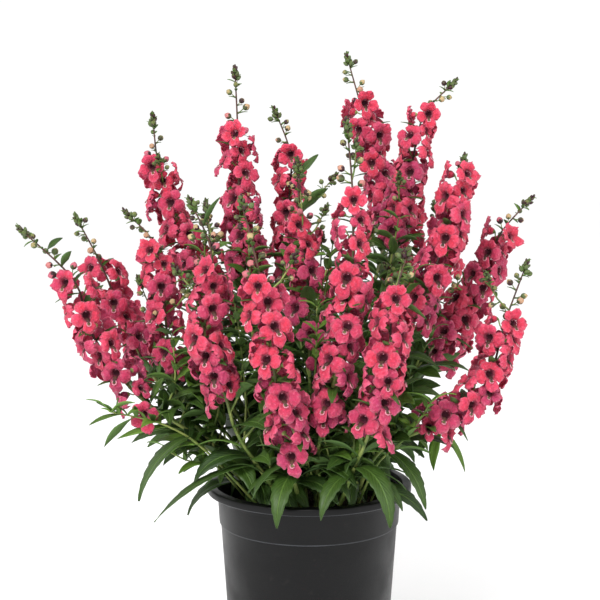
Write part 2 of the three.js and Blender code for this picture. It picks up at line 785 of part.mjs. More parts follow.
// Everything placed for the named nodes, joined
function fused(...nodes) {
  return Manifold.union(placed.filter((piece) => nodes.includes(piece.node)).map((piece) => piece.solid));
}

// The largest body of a solid, without loose scraps
function mainBody(joined) {
  return joined.decompose().sort((a, b) => b.volume() - a.volume())[0];
}

// Planting: the stems first, then what grows on them, so that each piece finds its room

const SEED_STEP = 40;
const lines = new Map();
for (const { name, foot, path, bloom } of SPIKES) lines.set(`stem_${name}`, centreLine(foot, path, bloom));
for (const { name, foot, path } of SHOOTS) lines.set(`shoot_${name}`, centreLine(foot, path, []));

function plantAll() {
  const lineOf = (spike) => lines.get(`stem_${spike.name}`);
  const shootLine = (shoot) => lines.get(`shoot_${shoot.name}`);
  place('pot', pot());
  place('soil', soilMound());
  place('plant_label', label(0));
  for (const spike of SPIKES) place(`stem_${spike.name}`, spikeStem(lineOf(spike)));
  for (const shoot of SHOOTS) place(`shoot_${shoot.name}`, shootStem(shootLine(shoot)));
  for (const spike of SPIKES) {
    place(`core_${spike.name}`, tube(lineOf(spike), spike.bloom, CORE_GAP + CORE_WALL, 0));
  }
  SPIKES.forEach((spike, k) => placeFlowers(spike, lineOf(spike), SEED_STEP * k));
  SPIKES.forEach((spike, k) => placeBuds(spike, lineOf(spike), k));
  for (const rimLeaf of RIM_LEAVES) placeRimLeaf(rimLeaf, lines.get(rimLeaf.node));
  SPIKES.forEach((spike, k) => placeLeaves(spike, lineOf(spike), SEED_STEP * k));
  SHOOTS.forEach((shoot, k) => placeShootLeaves(shoot, shootLine(shoot), SEED_STEP * k));
}

function soil() {
  const holes = [...lines.values()].map(stemHole);
  return fused('soil').subtract(Manifold.union([...holes, label(FIT_GAP)]));
}

// Flowers and the core that they stand out of, bored out for the stem
function bloom(spike) {
  const bore = tube(lines.get(`stem_${spike.name}`), spike.bloom, CORE_GAP, 2);
  return mainBody(fused(`bloom_${spike.name}`, `core_${spike.name}`).subtract(bore));
}

// Looks

const LOOKS = {
  pot: { color: 0x2b2c2e, roughness: 0.5 },
  soil: { color: 0x2a1d14, roughness: 1 },
  plant_label: { color: 0xb9bcb8, roughness: 0.45 },
  stem: { color: 0x3f5f2a, roughness: 0.5 },
  shoot: { color: 0x567a34, roughness: 0.5 },
  bloom: { color: 0xdc3f5f, roughness: 0.6 },
};

const plant = new THREE.Group();

function addMesh(name, look, body) {
  const { vertProperties, triVerts } = body.getMesh();
  const geometry = new THREE.BufferGeometry();
  geometry.setAttribute('position', new THREE.BufferAttribute(new Float32Array(vertProperties), 3));
  geometry.setIndex(new THREE.BufferAttribute(new Uint32Array(triVerts), 1));
  geometry.computeVertexNormals();
  const mesh = new THREE.Mesh(geometry, new THREE.MeshStandardMaterial({ ...look, metalness: 0 }));
  mesh.name = name;
  plant.add(mesh);
}

plantAll();
addMesh('pot', LOOKS.pot, fused('pot'));
addMesh('soil', LOOKS.soil, soil());
addMesh('plant_label', LOOKS.plant_label, fused('plant_label'));
for (const spike of SPIKES) {
  addMesh(`stem_${spike.name}`, LOOKS.stem, mainBody(fused(`stem_${spike.name}`)));
  addMesh(`bloom_${spike.name}`, LOOKS.bloom, bloom(spike));
}
for (const shoot of SHOOTS) {
  addMesh(`shoot_${shoot.name}`, LOOKS.shoot, mainBody(fused(`shoot_${shoot.name}`)));
}

export default plant;
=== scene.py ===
# Potted angelonia in flower, in a black nursery pot with a bare plant label.
# Lengths are millimetres, in the frame of the CAD; each piece becomes metres as it is made.

import math
import random
from bisect import bisect_right
from collections import namedtuple

import bmesh
import bpy
from mathutils import Matrix, Vector, kdtree, noise


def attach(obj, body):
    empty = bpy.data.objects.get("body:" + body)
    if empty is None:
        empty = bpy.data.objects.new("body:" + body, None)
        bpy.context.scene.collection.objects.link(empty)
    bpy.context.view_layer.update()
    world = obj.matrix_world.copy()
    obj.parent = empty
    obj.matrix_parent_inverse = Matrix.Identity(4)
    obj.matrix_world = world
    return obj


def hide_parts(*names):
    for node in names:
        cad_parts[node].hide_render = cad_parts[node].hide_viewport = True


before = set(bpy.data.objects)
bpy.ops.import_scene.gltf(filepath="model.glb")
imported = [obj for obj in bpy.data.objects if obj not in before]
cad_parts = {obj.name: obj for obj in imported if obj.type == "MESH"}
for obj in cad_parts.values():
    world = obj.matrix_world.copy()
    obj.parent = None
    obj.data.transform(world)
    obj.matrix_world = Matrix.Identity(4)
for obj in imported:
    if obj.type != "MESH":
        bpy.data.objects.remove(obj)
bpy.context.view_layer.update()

# Nursery pot: thin black polypropylene, moulded in one piece, with a step under its collar, a
# rolled lip and four drainage holes through the floor. It stands loose on its flat base.

POT_HEIGHT = 145
BASE_RADIUS = 57.7
LEDGE_HEIGHT = 116
LEDGE_RADIUS = 65.6
LEDGE_SLOPE = 0.2
COLLAR_FOOT_RADIUS = 66.7
COLLAR_RADIUS = 68.1
LIP_RADIUS = 76
LIP_DEPTH = 5.5
WALL = 1.4
FLOOR = 2
INSIDE_RADIUS = LEDGE_RADIUS - WALL
EDGE_ROUNDING = 0.5
LIP_ROUNDING = 1.4
ROUNDING_STEPS = 4
TURNED_STEPS = 144
DRAIN_COUNT = 4
DRAIN_RADIUS = 5
DRAIN_CIRCLE = 42
DRAIN_SIDES = 32
SHARP_ANGLE = 50

UP = Vector((0, 0, 1))


def paint(code):
    """A colour for a shader from its usual six-digit code"""
    channels = [((code >> shift) & 255) / 255 for shift in (16, 8, 0)]
    return (*[c / 12.92 if c < 0.04045 else ((c + 0.055) / 1.055) ** 2.4 for c in channels], 1)


def operator(operation, swapped=False):
    """A Python operator between amounts and numbers, which adds a Math node"""

    def work_out(*values):
        inputs = values[::-1] if swapped else values
        return values[0].finish.node("ShaderNodeMath", {"operation": operation}, inputs)

    return work_out


class Amount:
    """A number or colour worked out over a surface. Sums with it add nodes to its finish."""

    def __init__(self, finish, socket):
        self.finish = finish
        self.socket = socket

    __add__ = __radd__ = operator("ADD")
    __sub__, __rsub__ = operator("SUBTRACT"), operator("SUBTRACT", True)
    __mul__ = __rmul__ = operator("MULTIPLY")
    __pow__ = operator("POWER")
    __abs__ = operator("ABSOLUTE")
    wave = operator("SINE")

    def between(self, low, high):
        """0 below low, 1 above high and smooth between them"""
        ends = {"Value": self, "From Min": low, "From Max": high}
        return self.finish.node("ShaderNodeMapRange", {"interpolation_type": "SMOOTHSTEP"}, ends)

    def blend(self, first, second):
        """The first colour where the amount is 0 and the second where it is 1"""
        first, second = [paint(c) if isinstance(c, int) else c for c in (first, second)]
        return self.finish.node("ShaderNodeMix", {"data_type": "RGBA"}, {0: self, 6: first, 7: second}, 2)

    def bump(self, distance):
        return self.finish.node("ShaderNodeBump", None, {"Height": self, "Distance": distance})


class Finish:
    """A procedural material on one Principled shader"""

    def __init__(self, name, constants):
        self.material = bpy.data.materials.new(name)
        self.material.use_nodes = True
        self.shader = self.material.node_tree.nodes["Principled BSDF"]
        for socket, value in constants.items():
            self.shader.inputs[socket].default_value = value

    def node(self, kind, settings=None, inputs=(), output=0):
        made = self.material.node_tree.nodes.new(kind)
        for setting, value in (settings or {}).items():
            setattr(made, setting, value)
        named = inputs.items() if isinstance(inputs, dict) else enumerate(inputs)
        for socket, value in named:
            self.feed(made.inputs[socket], value)
        return Amount(self, made.outputs[output])

    def feed(self, socket, value):
        if isinstance(value, Amount):
            self.material.node_tree.links.new(value.socket, socket)
        else:
            socket.default_value = value

    def show(self, **values):
        """Feeds the shader: colour, roughness and bump"""
        for socket, name in (("Base Color", "colour"), ("Roughness", "roughness"), ("Normal", "bump")):
            if name in values:
                self.feed(self.shader.inputs[socket], values[name])

    def part(self, place, axis):
        return self.node("ShaderNodeSeparateXYZ", None, [place], axis)

    def place(self):
        return self.node("ShaderNodeTexCoord", output="Object")

    def sheet_place(self):
        """How far across or round a grown sheet a spot lies and how far along it, from 0 to 1"""
        uv = self.node("ShaderNodeUVMap", {"uv_map": "UVMap"})
        return self.part(uv, 0), self.part(uv, 1)

    def grain(self, scale, detail=3):
        """Cloudy noise of that many clouds to the metre"""
        inputs = {"Vector": self.place(), "Scale": scale, "Detail": detail}
        return self.node("ShaderNodeTexNoise", None, inputs)

    def attribute(self, name):
        return self.node("ShaderNodeAttribute", {"attribute_name": name}, (), "Fac")


def made_of(name, shape, *finishes):
    """The object of a finished shape, with its finishes in the order of their numbers"""
    bmesh.ops.scale(shape, vec=(0.001, 0.001, 0.001), verts=shape.verts)
    mesh = bpy.data.meshes.new(name)
    shape.to_mesh(mesh)
    shape.free()
    for finish in finishes:
        mesh.materials.append(finish.material)
    thing = bpy.data.objects.new(name, mesh)
    bpy.context.scene.collection.objects.link(thing)
    return thing


def round_off(shape, parts, offset, steps, affect="EDGES"):
    bmesh.ops.bevel(shape, geom=parts, offset=offset, offset_type="OFFSET", segments=steps,
                    profile=0.5, affect=affect, material=-1)


def turned(section, roundings, steps):
    """A closed shape turned round the upright axis. roundings: how far the numbered corners of
    its section are rounded."""
    shape = bmesh.new()
    corners = [shape.verts.new((r, 0, z)) for r, z in section]
    for first, second in zip(corners, corners[1:]):
        shape.edges.new((first, second))
    for rounding in sorted(set(roundings.values())):
        chosen = [corners[i] for i in roundings if roundings[i] == rounding]
        round_off(shape, chosen, rounding, ROUNDING_STEPS, "VERTICES")
    whole = shape.verts[:] + shape.edges[:]
    bmesh.ops.spin(shape, geom=whole, axis=UP, cent=(0, 0, 0), angle=2 * math.pi,
                   steps=steps, use_merge=True)
    bmesh.ops.remove_doubles(shape, verts=shape.verts, dist=0.01)
    bmesh.ops.recalc_face_normals(shape, faces=shape.faces)
    for face in shape.faces:
        face.smooth = True
    return shape


pot_section = [
    (0, 0),
    (BASE_RADIUS, 0),
    (LEDGE_RADIUS, LEDGE_HEIGHT),
    (COLLAR_FOOT_RADIUS, LEDGE_HEIGHT + LEDGE_SLOPE),
    (COLLAR_RADIUS, POT_HEIGHT - LIP_DEPTH),
    (LIP_RADIUS, POT_HEIGHT - LIP_DEPTH),
    (LIP_RADIUS, POT_HEIGHT),
    (INSIDE_RADIUS + LIP_DEPTH, POT_HEIGHT),
    (INSIDE_RADIUS, LEDGE_HEIGHT),
    (BASE_RADIUS - WALL, FLOOR),
    (0, FLOOR),
]
pot_roundings = {i: EDGE_ROUNDING for i in (1, 2, 3, 4, 7, 8, 9)}
pot_roundings |= {i: LIP_ROUNDING for i in (5, 6)}
pot = made_of("nursery_pot", turned(pot_section, pot_roundings, TURNED_STEPS))

drills = bmesh.new()
for i in range(DRAIN_COUNT):
    turn = Matrix.Rotation(math.radians((i + 0.5) * 360 / DRAIN_COUNT), 4, "Z")
    bmesh.ops.create_cone(drills, cap_ends=True, segments=DRAIN_SIDES, radius1=DRAIN_RADIUS,
                          radius2=DRAIN_RADIUS, depth=4 * FLOOR,
                          matrix=turn @ Matrix.Translation((DRAIN_CIRCLE, 0, 0)))
drill = made_of("drain_drills", drills)
cut = pot.modifiers.new("drainage", "BOOLEAN")
cut.object = drill
cut.operation = "DIFFERENCE"
cut.solver = "EXACT"
pot.data = bpy.data.meshes.new_from_object(pot.evaluated_get(bpy.context.evaluated_depsgraph_get()))
pot.modifiers.clear()
bpy.data.objects.remove(drill)
pot.data.set_sharp_from_angle(angle=math.radians(SHARP_ANGLE))

# Satin black with a fine moulded grain, faint rings from the mould and a trace of peat dust. A thin
# light line along the edges of the lip and of the step is a painted highlight, in patches.
black_plastic = Finish("black_plastic", {"Specular IOR Level": 0.2})
height = black_plastic.part(black_plastic.place(), "Z")
dust = black_plastic.grain(140, 6).between(0.6, 0.85) * 0.2
wear_and_highlight_patches = black_plastic.grain(38, 5).between(0.35, 0.7)
# Painted highlight: thin light bands at the lower edge of the lip and at the step, where light catches the
# rounded edges
painted_highlight_lines = 0
for edge in (LEDGE_HEIGHT + 0.4, POT_HEIGHT - LIP_DEPTH + 0.3):
    painted_highlight_lines += 1 - abs(height * 1000 - edge).between(0.15, 0.75)
black = dust.blend(0x040405, 0x34302C)
black_plastic.show(
    # The painted highlight lines, light grey over the black; the same noise patches them and varies the
    # roughness as wear
    colour=(painted_highlight_lines * (0.5 + wear_and_highlight_patches * 0.5)).blend(black, 0x44464A),
    roughness=0.36 + 0.14 * wear_and_highlight_patches + 0.25 * dust,
    bump=(black_plastic.grain(2600, 2) * 0.5 + (height * 5200).wave() * 0.08 + dust * 0.3).bump(0.00012),
)
pot.data.materials.clear()
pot.data.materials.append(black_plastic.material)
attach(pot, "root")
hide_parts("pot")

# Potting mix: dark moist peat with coarse crumbs, filled loosely to a low mound below the lip.
# The stems and the label stand in it.

SOIL_LEVEL = 126
SOIL_EDGE_DROP = 3
SOIL_EDGE_RADIUS = 64.9
SOIL_GAP = 0.3
SOIL_UNEVENNESS = 2.2
SOIL_RINGS = 20
SOIL_STEPS = 96
CRUMB_COUNT = 620
CRUMB_RADIUS = (0.7, 2.6)
CRUMB_MARGIN = 2.5


def mix(a, b, t):
    return a + (b - a) * t


def soil_height(x, y):
    near_edge = (x * x + y * y) / SOIL_EDGE_RADIUS**2
    lumps = noise.noise(Vector((x, y, 3)) * 0.09) + 0.5 * noise.noise(Vector((x, y, 9)) * 0.3)
    return SOIL_LEVEL - SOIL_EDGE_DROP * near_edge + SOIL_UNEVENNESS * (lumps - 0.35) * (1.05 - near_edge)


soil_section = [(0, FLOOR + SOIL_GAP), (BASE_RADIUS - WALL - 0.5, FLOOR + SOIL_GAP)]
for i in range(SOIL_RINGS + 1):
    soil_section.append((SOIL_EDGE_RADIUS * (1 - i / SOIL_RINGS), SOIL_LEVEL))
mound = turned(soil_section, {}, SOIL_STEPS)
for vert in mound.verts:
    if vert.co.z > SOIL_LEVEL - 1:
        vert.co.z = soil_height(vert.co.x, vert.co.y)

soil_dice = random.Random(5)
for _ in range(CRUMB_COUNT):
    angle = soil_dice.uniform(0, 2 * math.pi)
    r = (SOIL_EDGE_RADIUS - CRUMB_MARGIN) * math.sqrt(soil_dice.random())
    x, y = r * math.cos(angle), r * math.sin(angle)
    size = mix(*CRUMB_RADIUS, soil_dice.random() ** 2)
    lie = Matrix.Rotation(soil_dice.uniform(0, 3), 4, (x, y, 40))
    flat = Matrix.Diagonal((1, soil_dice.uniform(0.5, 0.9), soil_dice.uniform(0.4, 0.7), 1))
    spot = Matrix.Translation((x, y, soil_height(x, y) + 0.2 * size))
    bmesh.ops.create_icosphere(mound, subdivisions=1, radius=size, matrix=spot @ lie @ flat)

peat = Finish("peat", {"Roughness": 0.95, "Specular IOR Level": 0.25})
peat.show(
    colour=peat.grain(260, 6).between(0.3, 0.75).blend(0x1B130D, 0x4A3626),
    bump=(peat.grain(900, 8) + peat.grain(240, 4)).bump(0.0012),
)
soil = made_of("compost", mound, peat)
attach(soil, "root")
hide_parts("soil")

# Plant label: a bare strip of grey-white polystyrene with rounded top corners, pushed into the
# mix behind the stems, where it leans against them.

LABEL_WIDTH = 10
LABEL_THICKNESS = 1
LABEL_LENGTH = 78
LABEL_DEPTH = 16
LABEL_FOOT = Vector((-37, 39, 0))
LABEL_LEAN = Vector((-26, 4, 0))
LABEL_BOW = 0.9
LABEL_TOP_ROUNDING = 3
LABEL_FOOT_CUT = 4
LABEL_EDGE_ROUNDING = 0.18
LABEL_BENDS = range(-30, 40, 10)

strip = bmesh.new()
bmesh.ops.create_cube(strip, size=1)
bmesh.ops.scale(strip, vec=(LABEL_WIDTH, LABEL_THICKNESS, LABEL_LENGTH), verts=strip.verts)
for end, rounding, steps in ((1, LABEL_TOP_ROUNDING, 5), (-1, LABEL_FOOT_CUT, 2)):
    at_end = [edge for edge in strip.edges if all(vert.co.z * end > 0 for vert in edge.verts)]
    corners = [edge for edge in at_end if abs(edge.calc_length() - LABEL_THICKNESS) < 0.01]
    round_off(strip, corners, rounding, steps)
outline = [edge for edge in strip.edges if abs(edge.calc_face_angle(0)) > 1]
round_off(strip, outline, LABEL_EDGE_ROUNDING, 2)
for height in LABEL_BENDS:
    whole = strip.verts[:] + strip.edges[:] + strip.faces[:]
    bmesh.ops.bisect_plane(strip, geom=whole, plane_co=(0, 0, height), plane_no=UP)
for vert in strip.verts:
    f = vert.co.z / LABEL_LENGTH + 0.5
    bow = LABEL_BOW * math.sin(math.pi * f)
    vert.co += LABEL_FOOT + LABEL_LEAN * f + Vector((0, -bow, SOIL_LEVEL - LABEL_DEPTH + LABEL_LENGTH / 2))

label_plastic = Finish("label_plastic", {"Specular IOR Level": 0.4})
height = label_plastic.part(label_plastic.place(), "Z")
soiled = (1 - height.between(0.124, 0.15)) * label_plastic.grain(300, 5).between(0.3, 0.6)
label_plastic.show(
    colour=soiled.blend(0xBFC3BF, 0x53453A),
    roughness=0.42 + 0.4 * soiled,
    bump=label_plastic.grain(1500, 2).bump(0.00008),
)
label = made_of("label_strip", strip, label_plastic)
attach(label, "root")
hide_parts("plant_label")

# Flowering stems: slender square-shouldered shoots, green and firm at the foot and thin and dark
# purple among the flowers. Each is rooted in the mix and ends in a tight tip of unopened buds.

# facing: the side that most flowers turn to; bloom: how far below the tip the flowers begin and
# end; flowers and leaves: how many the CAD has; foot: where the stem leaves the mix; path: points
# from there up to its tip
Spike = namedtuple("Spike", "name facing bloom flowers leaves foot path")
SPIKES = [
    Spike("front_left", 265, (62, 188), 14, 1, (-4, -36),
          [(-12, -62, 169), (-8, -85, 193), (-22, -99, 235), (-31, -98, 297), (-46, -80, 357)]),
    Spike("front_tall", 265, (62, 218), 15, 1, (8, -30),
          [(6, -60, 182), (14, -84, 224), (26, -88, 289), (29, -62, 351), (25, -46, 410)]),
    Spike("front_right", 280, (40, 136), 12, 1, (18, -40),
          [(30, -72, 172), (38, -94, 200), (50, -104, 249), (54, -90, 286), (66, -76, 323)]),
    Spike("left_front", 255, (58, 152), 11, 3, (-13, -24),
          [(-48, -50, 187), (-57, -70, 221), (-70, -80, 262), (-66, -66, 317), (-83, -50, 356)]),
    Spike("right_front", 290, (48, 150), 13, 3, (29, -24),
          [(48, -50, 178), (84, -62, 200), (121, -55, 227), (136, -45, 270), (153, -35, 312)]),
    Spike("left_outer", 245, (54, 152), 11, 4, (-28, -10),
          [(-82, -25, 184), (-123, -40, 219), (-153, -45, 264), (-163, -45, 298), (-203, -40, 336)]),
    Spike("right_inner", 280, (14, 136), 13, 4, (22, -9),
          [(44, -18, 210), (75, -25, 272), (97, -25, 329), (110, -21, 386)]),
    Spike("left_inner", 250, (38, 128), 10, 3, (-17, -5),
          [(-88, -12, 196), (-101, -20, 250), (-109, -15, 317), (-133, -15, 347)]),
    Spike("centre_slim", 270, (48, 104), 5, 3, (5, -9),
          [(1, -13, 208), (-1, -16, 289), (-7, -10, 347), (-9, -5, 384)]),
    Spike("right_tall", 285, (36, 134), 11, 3, (15, 5),
          [(42, 8, 216), (66, 12, 335), (76, 18, 379), (85, 20, 416), (109, 20, 442)]),
    Spike("right_outer", 300, (38, 134), 11, 3, (30, 6),
          [(62, 12, 200), (108, 20, 263), (130, 24, 293), (143, 25, 327), (169, 30, 356)]),
    Spike("left_low", 230, (42, 124), 8, 3, (-28, 6),
          [(-81, 6, 183), (-119, 10, 226), (-140, 15, 268), (-155, 18, 305), (-175, 20, 343)]),
    Spike("left_tall", 260, (50, 164), 12, 2, (-8, 5),
          [(-35, 10, 216), (-48, 20, 301), (-52, 25, 353), (-53, 25, 403), (-55, 25, 452)]),
    Spike("centre", 275, (40, 138), 11, 3, (-2, 17),
          [(-14, 25, 213), (-12, 40, 306), (-15, 48, 349), (-14, 50, 388), (-27, 50, 424)]),
    Spike("left_high", 245, (40, 138), 10, 3, (-17, 16),
          [(-66, 24, 214), (-87, 38, 296), (-103, 44, 336), (-115, 45, 380), (-119, 45, 419)]),
    Spike("centre_tall", 280, (42, 150), 12, 3, (9, 16),
          [(28, 35, 211), (62, 58, 334), (53, 64, 384), (40, 65, 428), (29, 65, 466)]),
    Spike("back_1", 140, (44, 108), 6, 3, (-11, 28),
          [(-54, 50, 197), (-70, 80, 248), (-78, 93, 302), (-83, 95, 353)]),
    Spike("back_2", 90, (34, 94), 6, 3, (4, 37),
          [(2, 62, 195), (6, 98, 246), (10, 116, 290), (12, 120, 326)]),
    Spike("back_3", 60, (38, 118), 7, 3, (16, 30),
          [(31, 60, 195), (68, 95, 271), (84, 107, 340), (86, 110, 381)]),
    Spike("back_4", 30, (34, 104), 6, 3, (26, 22),
          [(47, 46, 197), (90, 80, 265), (115, 92, 324), (121, 95, 361)]),
    Spike("back_5", 0, (30, 94), 6, 3, (38, 14),
          [(64, 40, 191), (104, 60, 231), (134, 68, 274), (141, 70, 304)]),
    Spike("back_6", 180, (28, 92), 6, 3, (-28, 20),
          [(-73, 42, 183), (-118, 65, 214), (-148, 78, 265), (-153, 80, 293)]),
    Spike("back_7", 120, (38, 118), 7, 3, (-6, 40),
          [(-28, 62, 196), (-45, 88, 272), (-51, 97, 340), (-53, 100, 381)]),
]
STEM_TOP = 1.5
STEM_STANDS = 2
STEM_STRAIGHT = 4
STEM_HOLE_DEPTH = 14
STEM_TIP_RADIUS = 0.6
STEM_GROWTH = 0.0055
STEM_FOOT_RADIUS = 2.1
STEM_FULLNESS = 0.8
STEM_SIDES = 7
STEM_RING_STEP = 7
JOINT_SWELL = 0.1
JOINT_STEP = 23
STATION_STEP = 60
CURVE_STEPS = 24
TIP_LENGTH = 9
TIP_WIDEST = 5
CAD_MATCH = 0.05
CAD_SHARE = 0.7
GROWN_MARKS = ("age", "chance", "under")


def draw(seed, kind):
    """A repeatable draw from 0 to 1"""
    return math.sin(seed * 12.9898 + kind * 78.233) * 43758.5453 % 1


def pick(span, seed, kind):
    """A repeatable draw from a span"""
    return mix(*span, draw(seed, kind))


def heading(angle):
    return Vector((math.cos(math.radians(angle)), math.sin(math.radians(angle)), 0))


def point_along(points, depths, depth):
    wanted = min(max(depth, 0), depths[-1] - 1e-6)
    i = bisect_right(depths, wanted)
    return points[i - 1].lerp(points[i], (wanted - depths[i - 1]) / (depths[i] - depths[i - 1]))


def smooth_through(stops):
    """A smooth curve through some points"""
    curve = [stops[0]]
    for i in range(len(stops) - 1):
        here, there = stops[i], stops[i + 1]
        before = stops[i - 1] if i else 2 * here - there
        after = stops[i + 2] if i + 2 < len(stops) else 2 * there - here
        leave, arrive = (there - before) / 2, (after - here) / 2
        for step in range(1, CURVE_STEPS + 1):
            t = step / CURVE_STEPS
            bend = (2 * t - 3) * t * t * (here - there) + (t - 2) * t * t * leave + (t - 1) * t * t * arrive
            curve.append(here + bend + leave * t)
    return curve


class StemLine:
    """The centre line of a stem, measured down from its tip. The CAD's line is straight between
    the stations where its sections lie; the grown stem bends smoothly through them."""

    def __init__(self, foot, path, bloom=()):
        self.foot = foot
        self.run_through([Vector((*foot, SOIL_LEVEL + STEM_STANDS)), *map(Vector, path)][::-1])
        last = self.length - STEM_STRAIGHT
        ends = [TIP_LENGTH, *bloom, last]
        self.marks = [0, TIP_WIDEST]
        for top, bottom in zip(ends, ends[1:]):
            count = math.ceil((bottom - top) / STATION_STEP)
            self.marks += [mix(top, bottom, i / count) for i in range(count)]
        self.marks += [last, self.length]
        self.corners = [self.grown(mark) for mark in self.marks]

    def run_through(self, stops):
        self.curve = smooth_through(stops)
        self.depths = [0]
        for first, second in zip(self.curve, self.curve[1:]):
            self.depths.append(self.depths[-1] + (second - first).length)
        self.length = self.depths[-1]

    def grown(self, depth):
        return point_along(self.curve, self.depths, depth)

    def at(self, depth):
        return point_along(self.corners, self.marks, depth)

    def tangent(self, depth):
        return (self.at(depth - 2) - self.at(depth + 2)).normalized()

    def outward(self, depth, angle):
        way = heading(angle)
        tangent = self.tangent(depth)
        return (way - tangent * way.dot(tangent)).normalized()

    def upward(self, depth, angle, rise):
        """Outward, and up along the stem"""
        return (self.outward(depth, angle) + self.tangent(depth) * rise).normalized()

    def skyward(self, depth, angle, rise):
        """Outward, and straight up"""
        return (self.outward(depth, angle) + UP * rise).normalized()

    def stops(self, top, count):
        """Points at even steps from a depth to the foot"""
        return [self.grown(mix(top, self.length, i / count)) for i in range(count + 1)]


def sprout():
    """An empty shape whose corners can carry what the plant's finishes read"""
    shape = bmesh.new()
    for name in GROWN_MARKS:
        shape.verts.layers.float.new(name)
    shape.loops.layers.uv.new("UVMap")
    return shape


growth = bpy.data.meshes.new("growth")


def sheet(shape, columns, rows, spot, thickness=0, finish=0, age=0, chance=0):
    """Adds a grid laid out by spot(u, w), with u from -1 to 1 across and w from 0 to 1 along it.
    With a thickness it is a thin solid, and else a skin closed by its own doubled edges."""
    patch = sprout()
    bmesh.ops.create_grid(patch, x_segments=columns, y_segments=rows, size=1)
    uv = patch.loops.layers.uv["UVMap"]
    for face in patch.faces:
        face.material_index = finish
        face.smooth = True
        for loop in face.loops:
            loop[uv].uv = (loop.vert.co.x / 2 + 0.5, loop.vert.co.y / 2 + 0.5)
    ages, chances, unders = [patch.verts.layers.float[name] for name in GROWN_MARKS]
    for vert in patch.verts:
        vert[ages] = age
        vert[chances] = chance
        vert.co = spot(vert.co.x, vert.co.y / 2 + 0.5)
    if thickness:
        patch.normal_update()
        backs = bmesh.ops.solidify(patch, geom=patch.faces[:], thickness=thickness)["geom"]
        for vert in backs:
            if isinstance(vert, bmesh.types.BMVert):
                vert[unders] = 1
    else:
        bmesh.ops.remove_doubles(patch, verts=patch.verts, dist=0.002)
    patch.to_mesh(growth)
    patch.free()
    shape.from_mesh(growth)


def stalk(shape, points, radius, sides, **look):
    """A round stalk along some points, closed at both ends. radius(f) is for each part of it."""
    last = len(points) - 1
    rows = last + 2
    reference = (points[-1] - points[0]).orthogonal()
    rings = []
    for i, point in enumerate(points):
        way = (points[min(i + 1, last)] - points[max(i - 1, 0)]).normalized()
        side = (reference - way * reference.dot(way)).normalized()
        rings.append((point, side, way.cross(side), radius(i / last)))

    def spot(u, w):
        row = round(w * rows)
        point, side, front, r = rings[min(max(row - 1, 0), last)]
        r = r if 0 < row < rows else 0
        return point + side * (r * math.cos(math.pi * u)) + front * (r * math.sin(math.pi * u))

    sheet(shape, sides, rows, spot, **look)


def grow_stem(shape, line, top, **look):
    """The stem itself, from near its tip down into its hole, a little thicker at each joint"""
    count = math.ceil((line.length - top) / STEM_RING_STEP)
    points = line.stops(top, count) + [Vector((*line.foot, SOIL_LEVEL - STEM_HOLE_DEPTH))]

    def radius(f):
        depth = mix(top, line.length, min(f * (count + 1) / count, 1))
        joint = 1 + JOINT_SWELL * math.cos(2 * math.pi * depth / JOINT_STEP) ** 6
        return STEM_FULLNESS * joint * min(STEM_TIP_RADIUS + STEM_GROWTH * depth, STEM_FOOT_RADIUS)

    stalk(shape, points, radius, STEM_SIDES, **look)


def cad_corners(node):
    """The corners of a CAD node in millimetres, ready to be searched"""
    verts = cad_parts[node].data.vertices
    corners = kdtree.KDTree(len(verts))
    for vert in verts:
        corners.insert(vert.co * 1000, vert.index)
    corners.balance()
    return corners


def stands_in(corners, points):
    """True if a CAD node has corners at nearly all of these points"""
    hits = sum(corners.find(point)[2] < CAD_MATCH for point in points)
    return hits >= CAD_SHARE * len(points)


def rows_of(name, table):
    """The rows of a table for one stem, each with its number in the table instead of the name"""
    return [(i, *row[1:]) for i, row in enumerate(table) if row[0] == name]


# Stem skin: purple-brown near the tip, through bronze, to fresh green at the foot, faintly ribbed
stem_skin = Finish("stem_skin", {"Specular IOR Level": 0.4})
around, down = stem_skin.sheet_place()
patches = stem_skin.grain(120)
greenness = (down * 1.25 + patches * 0.5 + stem_skin.attribute("age") - 0.35).between(0.2, 0.75)
dark_stem = patches.between(0.3, 0.7).blend(0x38201F, 0x5A3A2E)
green_stem = patches.between(0.35, 0.65).blend(0x5C7434, 0x8A9650)
stem_skin.show(
    colour=greenness.blend(dark_stem, green_stem),
    roughness=0.5 + 0.15 * patches,
    bump=((around * 25).wave() * 0.4 + stem_skin.grain(1500) * 0.5).bump(0.0002),
)

stem_lines = {}
for spike in SPIKES:
    name = spike.name
    stem_lines[name] = StemLine(spike.foot, spike.path, spike.bloom)
    shape = sprout()
    grow_stem(shape, stem_lines[name], STEM_TOP)
    stem = made_of(f"stalk_{name}", shape, stem_skin)
    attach(stem, "root")
    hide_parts(f"stem_{name}")

# Flowers: each has two upper lobes, two wide side lobes and a projecting lip, of thin soft coral
# petal, round a dark maroon pouch with a pale horseshoe ridge. A green calyx and a short stalk
# hold it to the stem.

FLOWER_RADIUS = 12.3
FLOWER_SIZE = (0.88, 1.02)
YOUNG_FLOWER = 0.84
FLOWER_REACH = 11.5
FLOWER_RISE = 4.5
FLOWER_TILT = 0.3
FLOWER_SWAY = (-17, 17)
FLOWER_JITTER = (-8, 8)
FLOWER_CHANGES = [(reach, rise, turn) for reach in (0, 2.2, -1) for rise in (0, 3, -3)
                  for turn in (0, 12, -12, 24, -24, 36, -36)]
GOLDEN_ANGLE = 137.5
FACING_BIAS = 0.42
SEEDS_PER_SPIKE = 40

# The right half of the CAD's outline, from the top: angle, distance and height in flower radii
HALF_OUTLINE = ((27, 0.92, 0.02), (62, 0.58, 0.02), (83, 0.97, 0.1), (117, 1, 0.12), (140, 0.62, 0.08),
                (161, 1.04, 0.26))

# Smaller flowers between those of the CAD. Some spikes have them only at every second place.
BETWEEN_ROOM = 12.8
BETWEEN_SIZE = (0.66, 0.92)
BETWEEN_REACH = (6, 8, 10)
BETWEEN_RISE = 4
BETWEEN_TURNS = 15
OPEN_SPIKES = ("left_outer", "left_low")

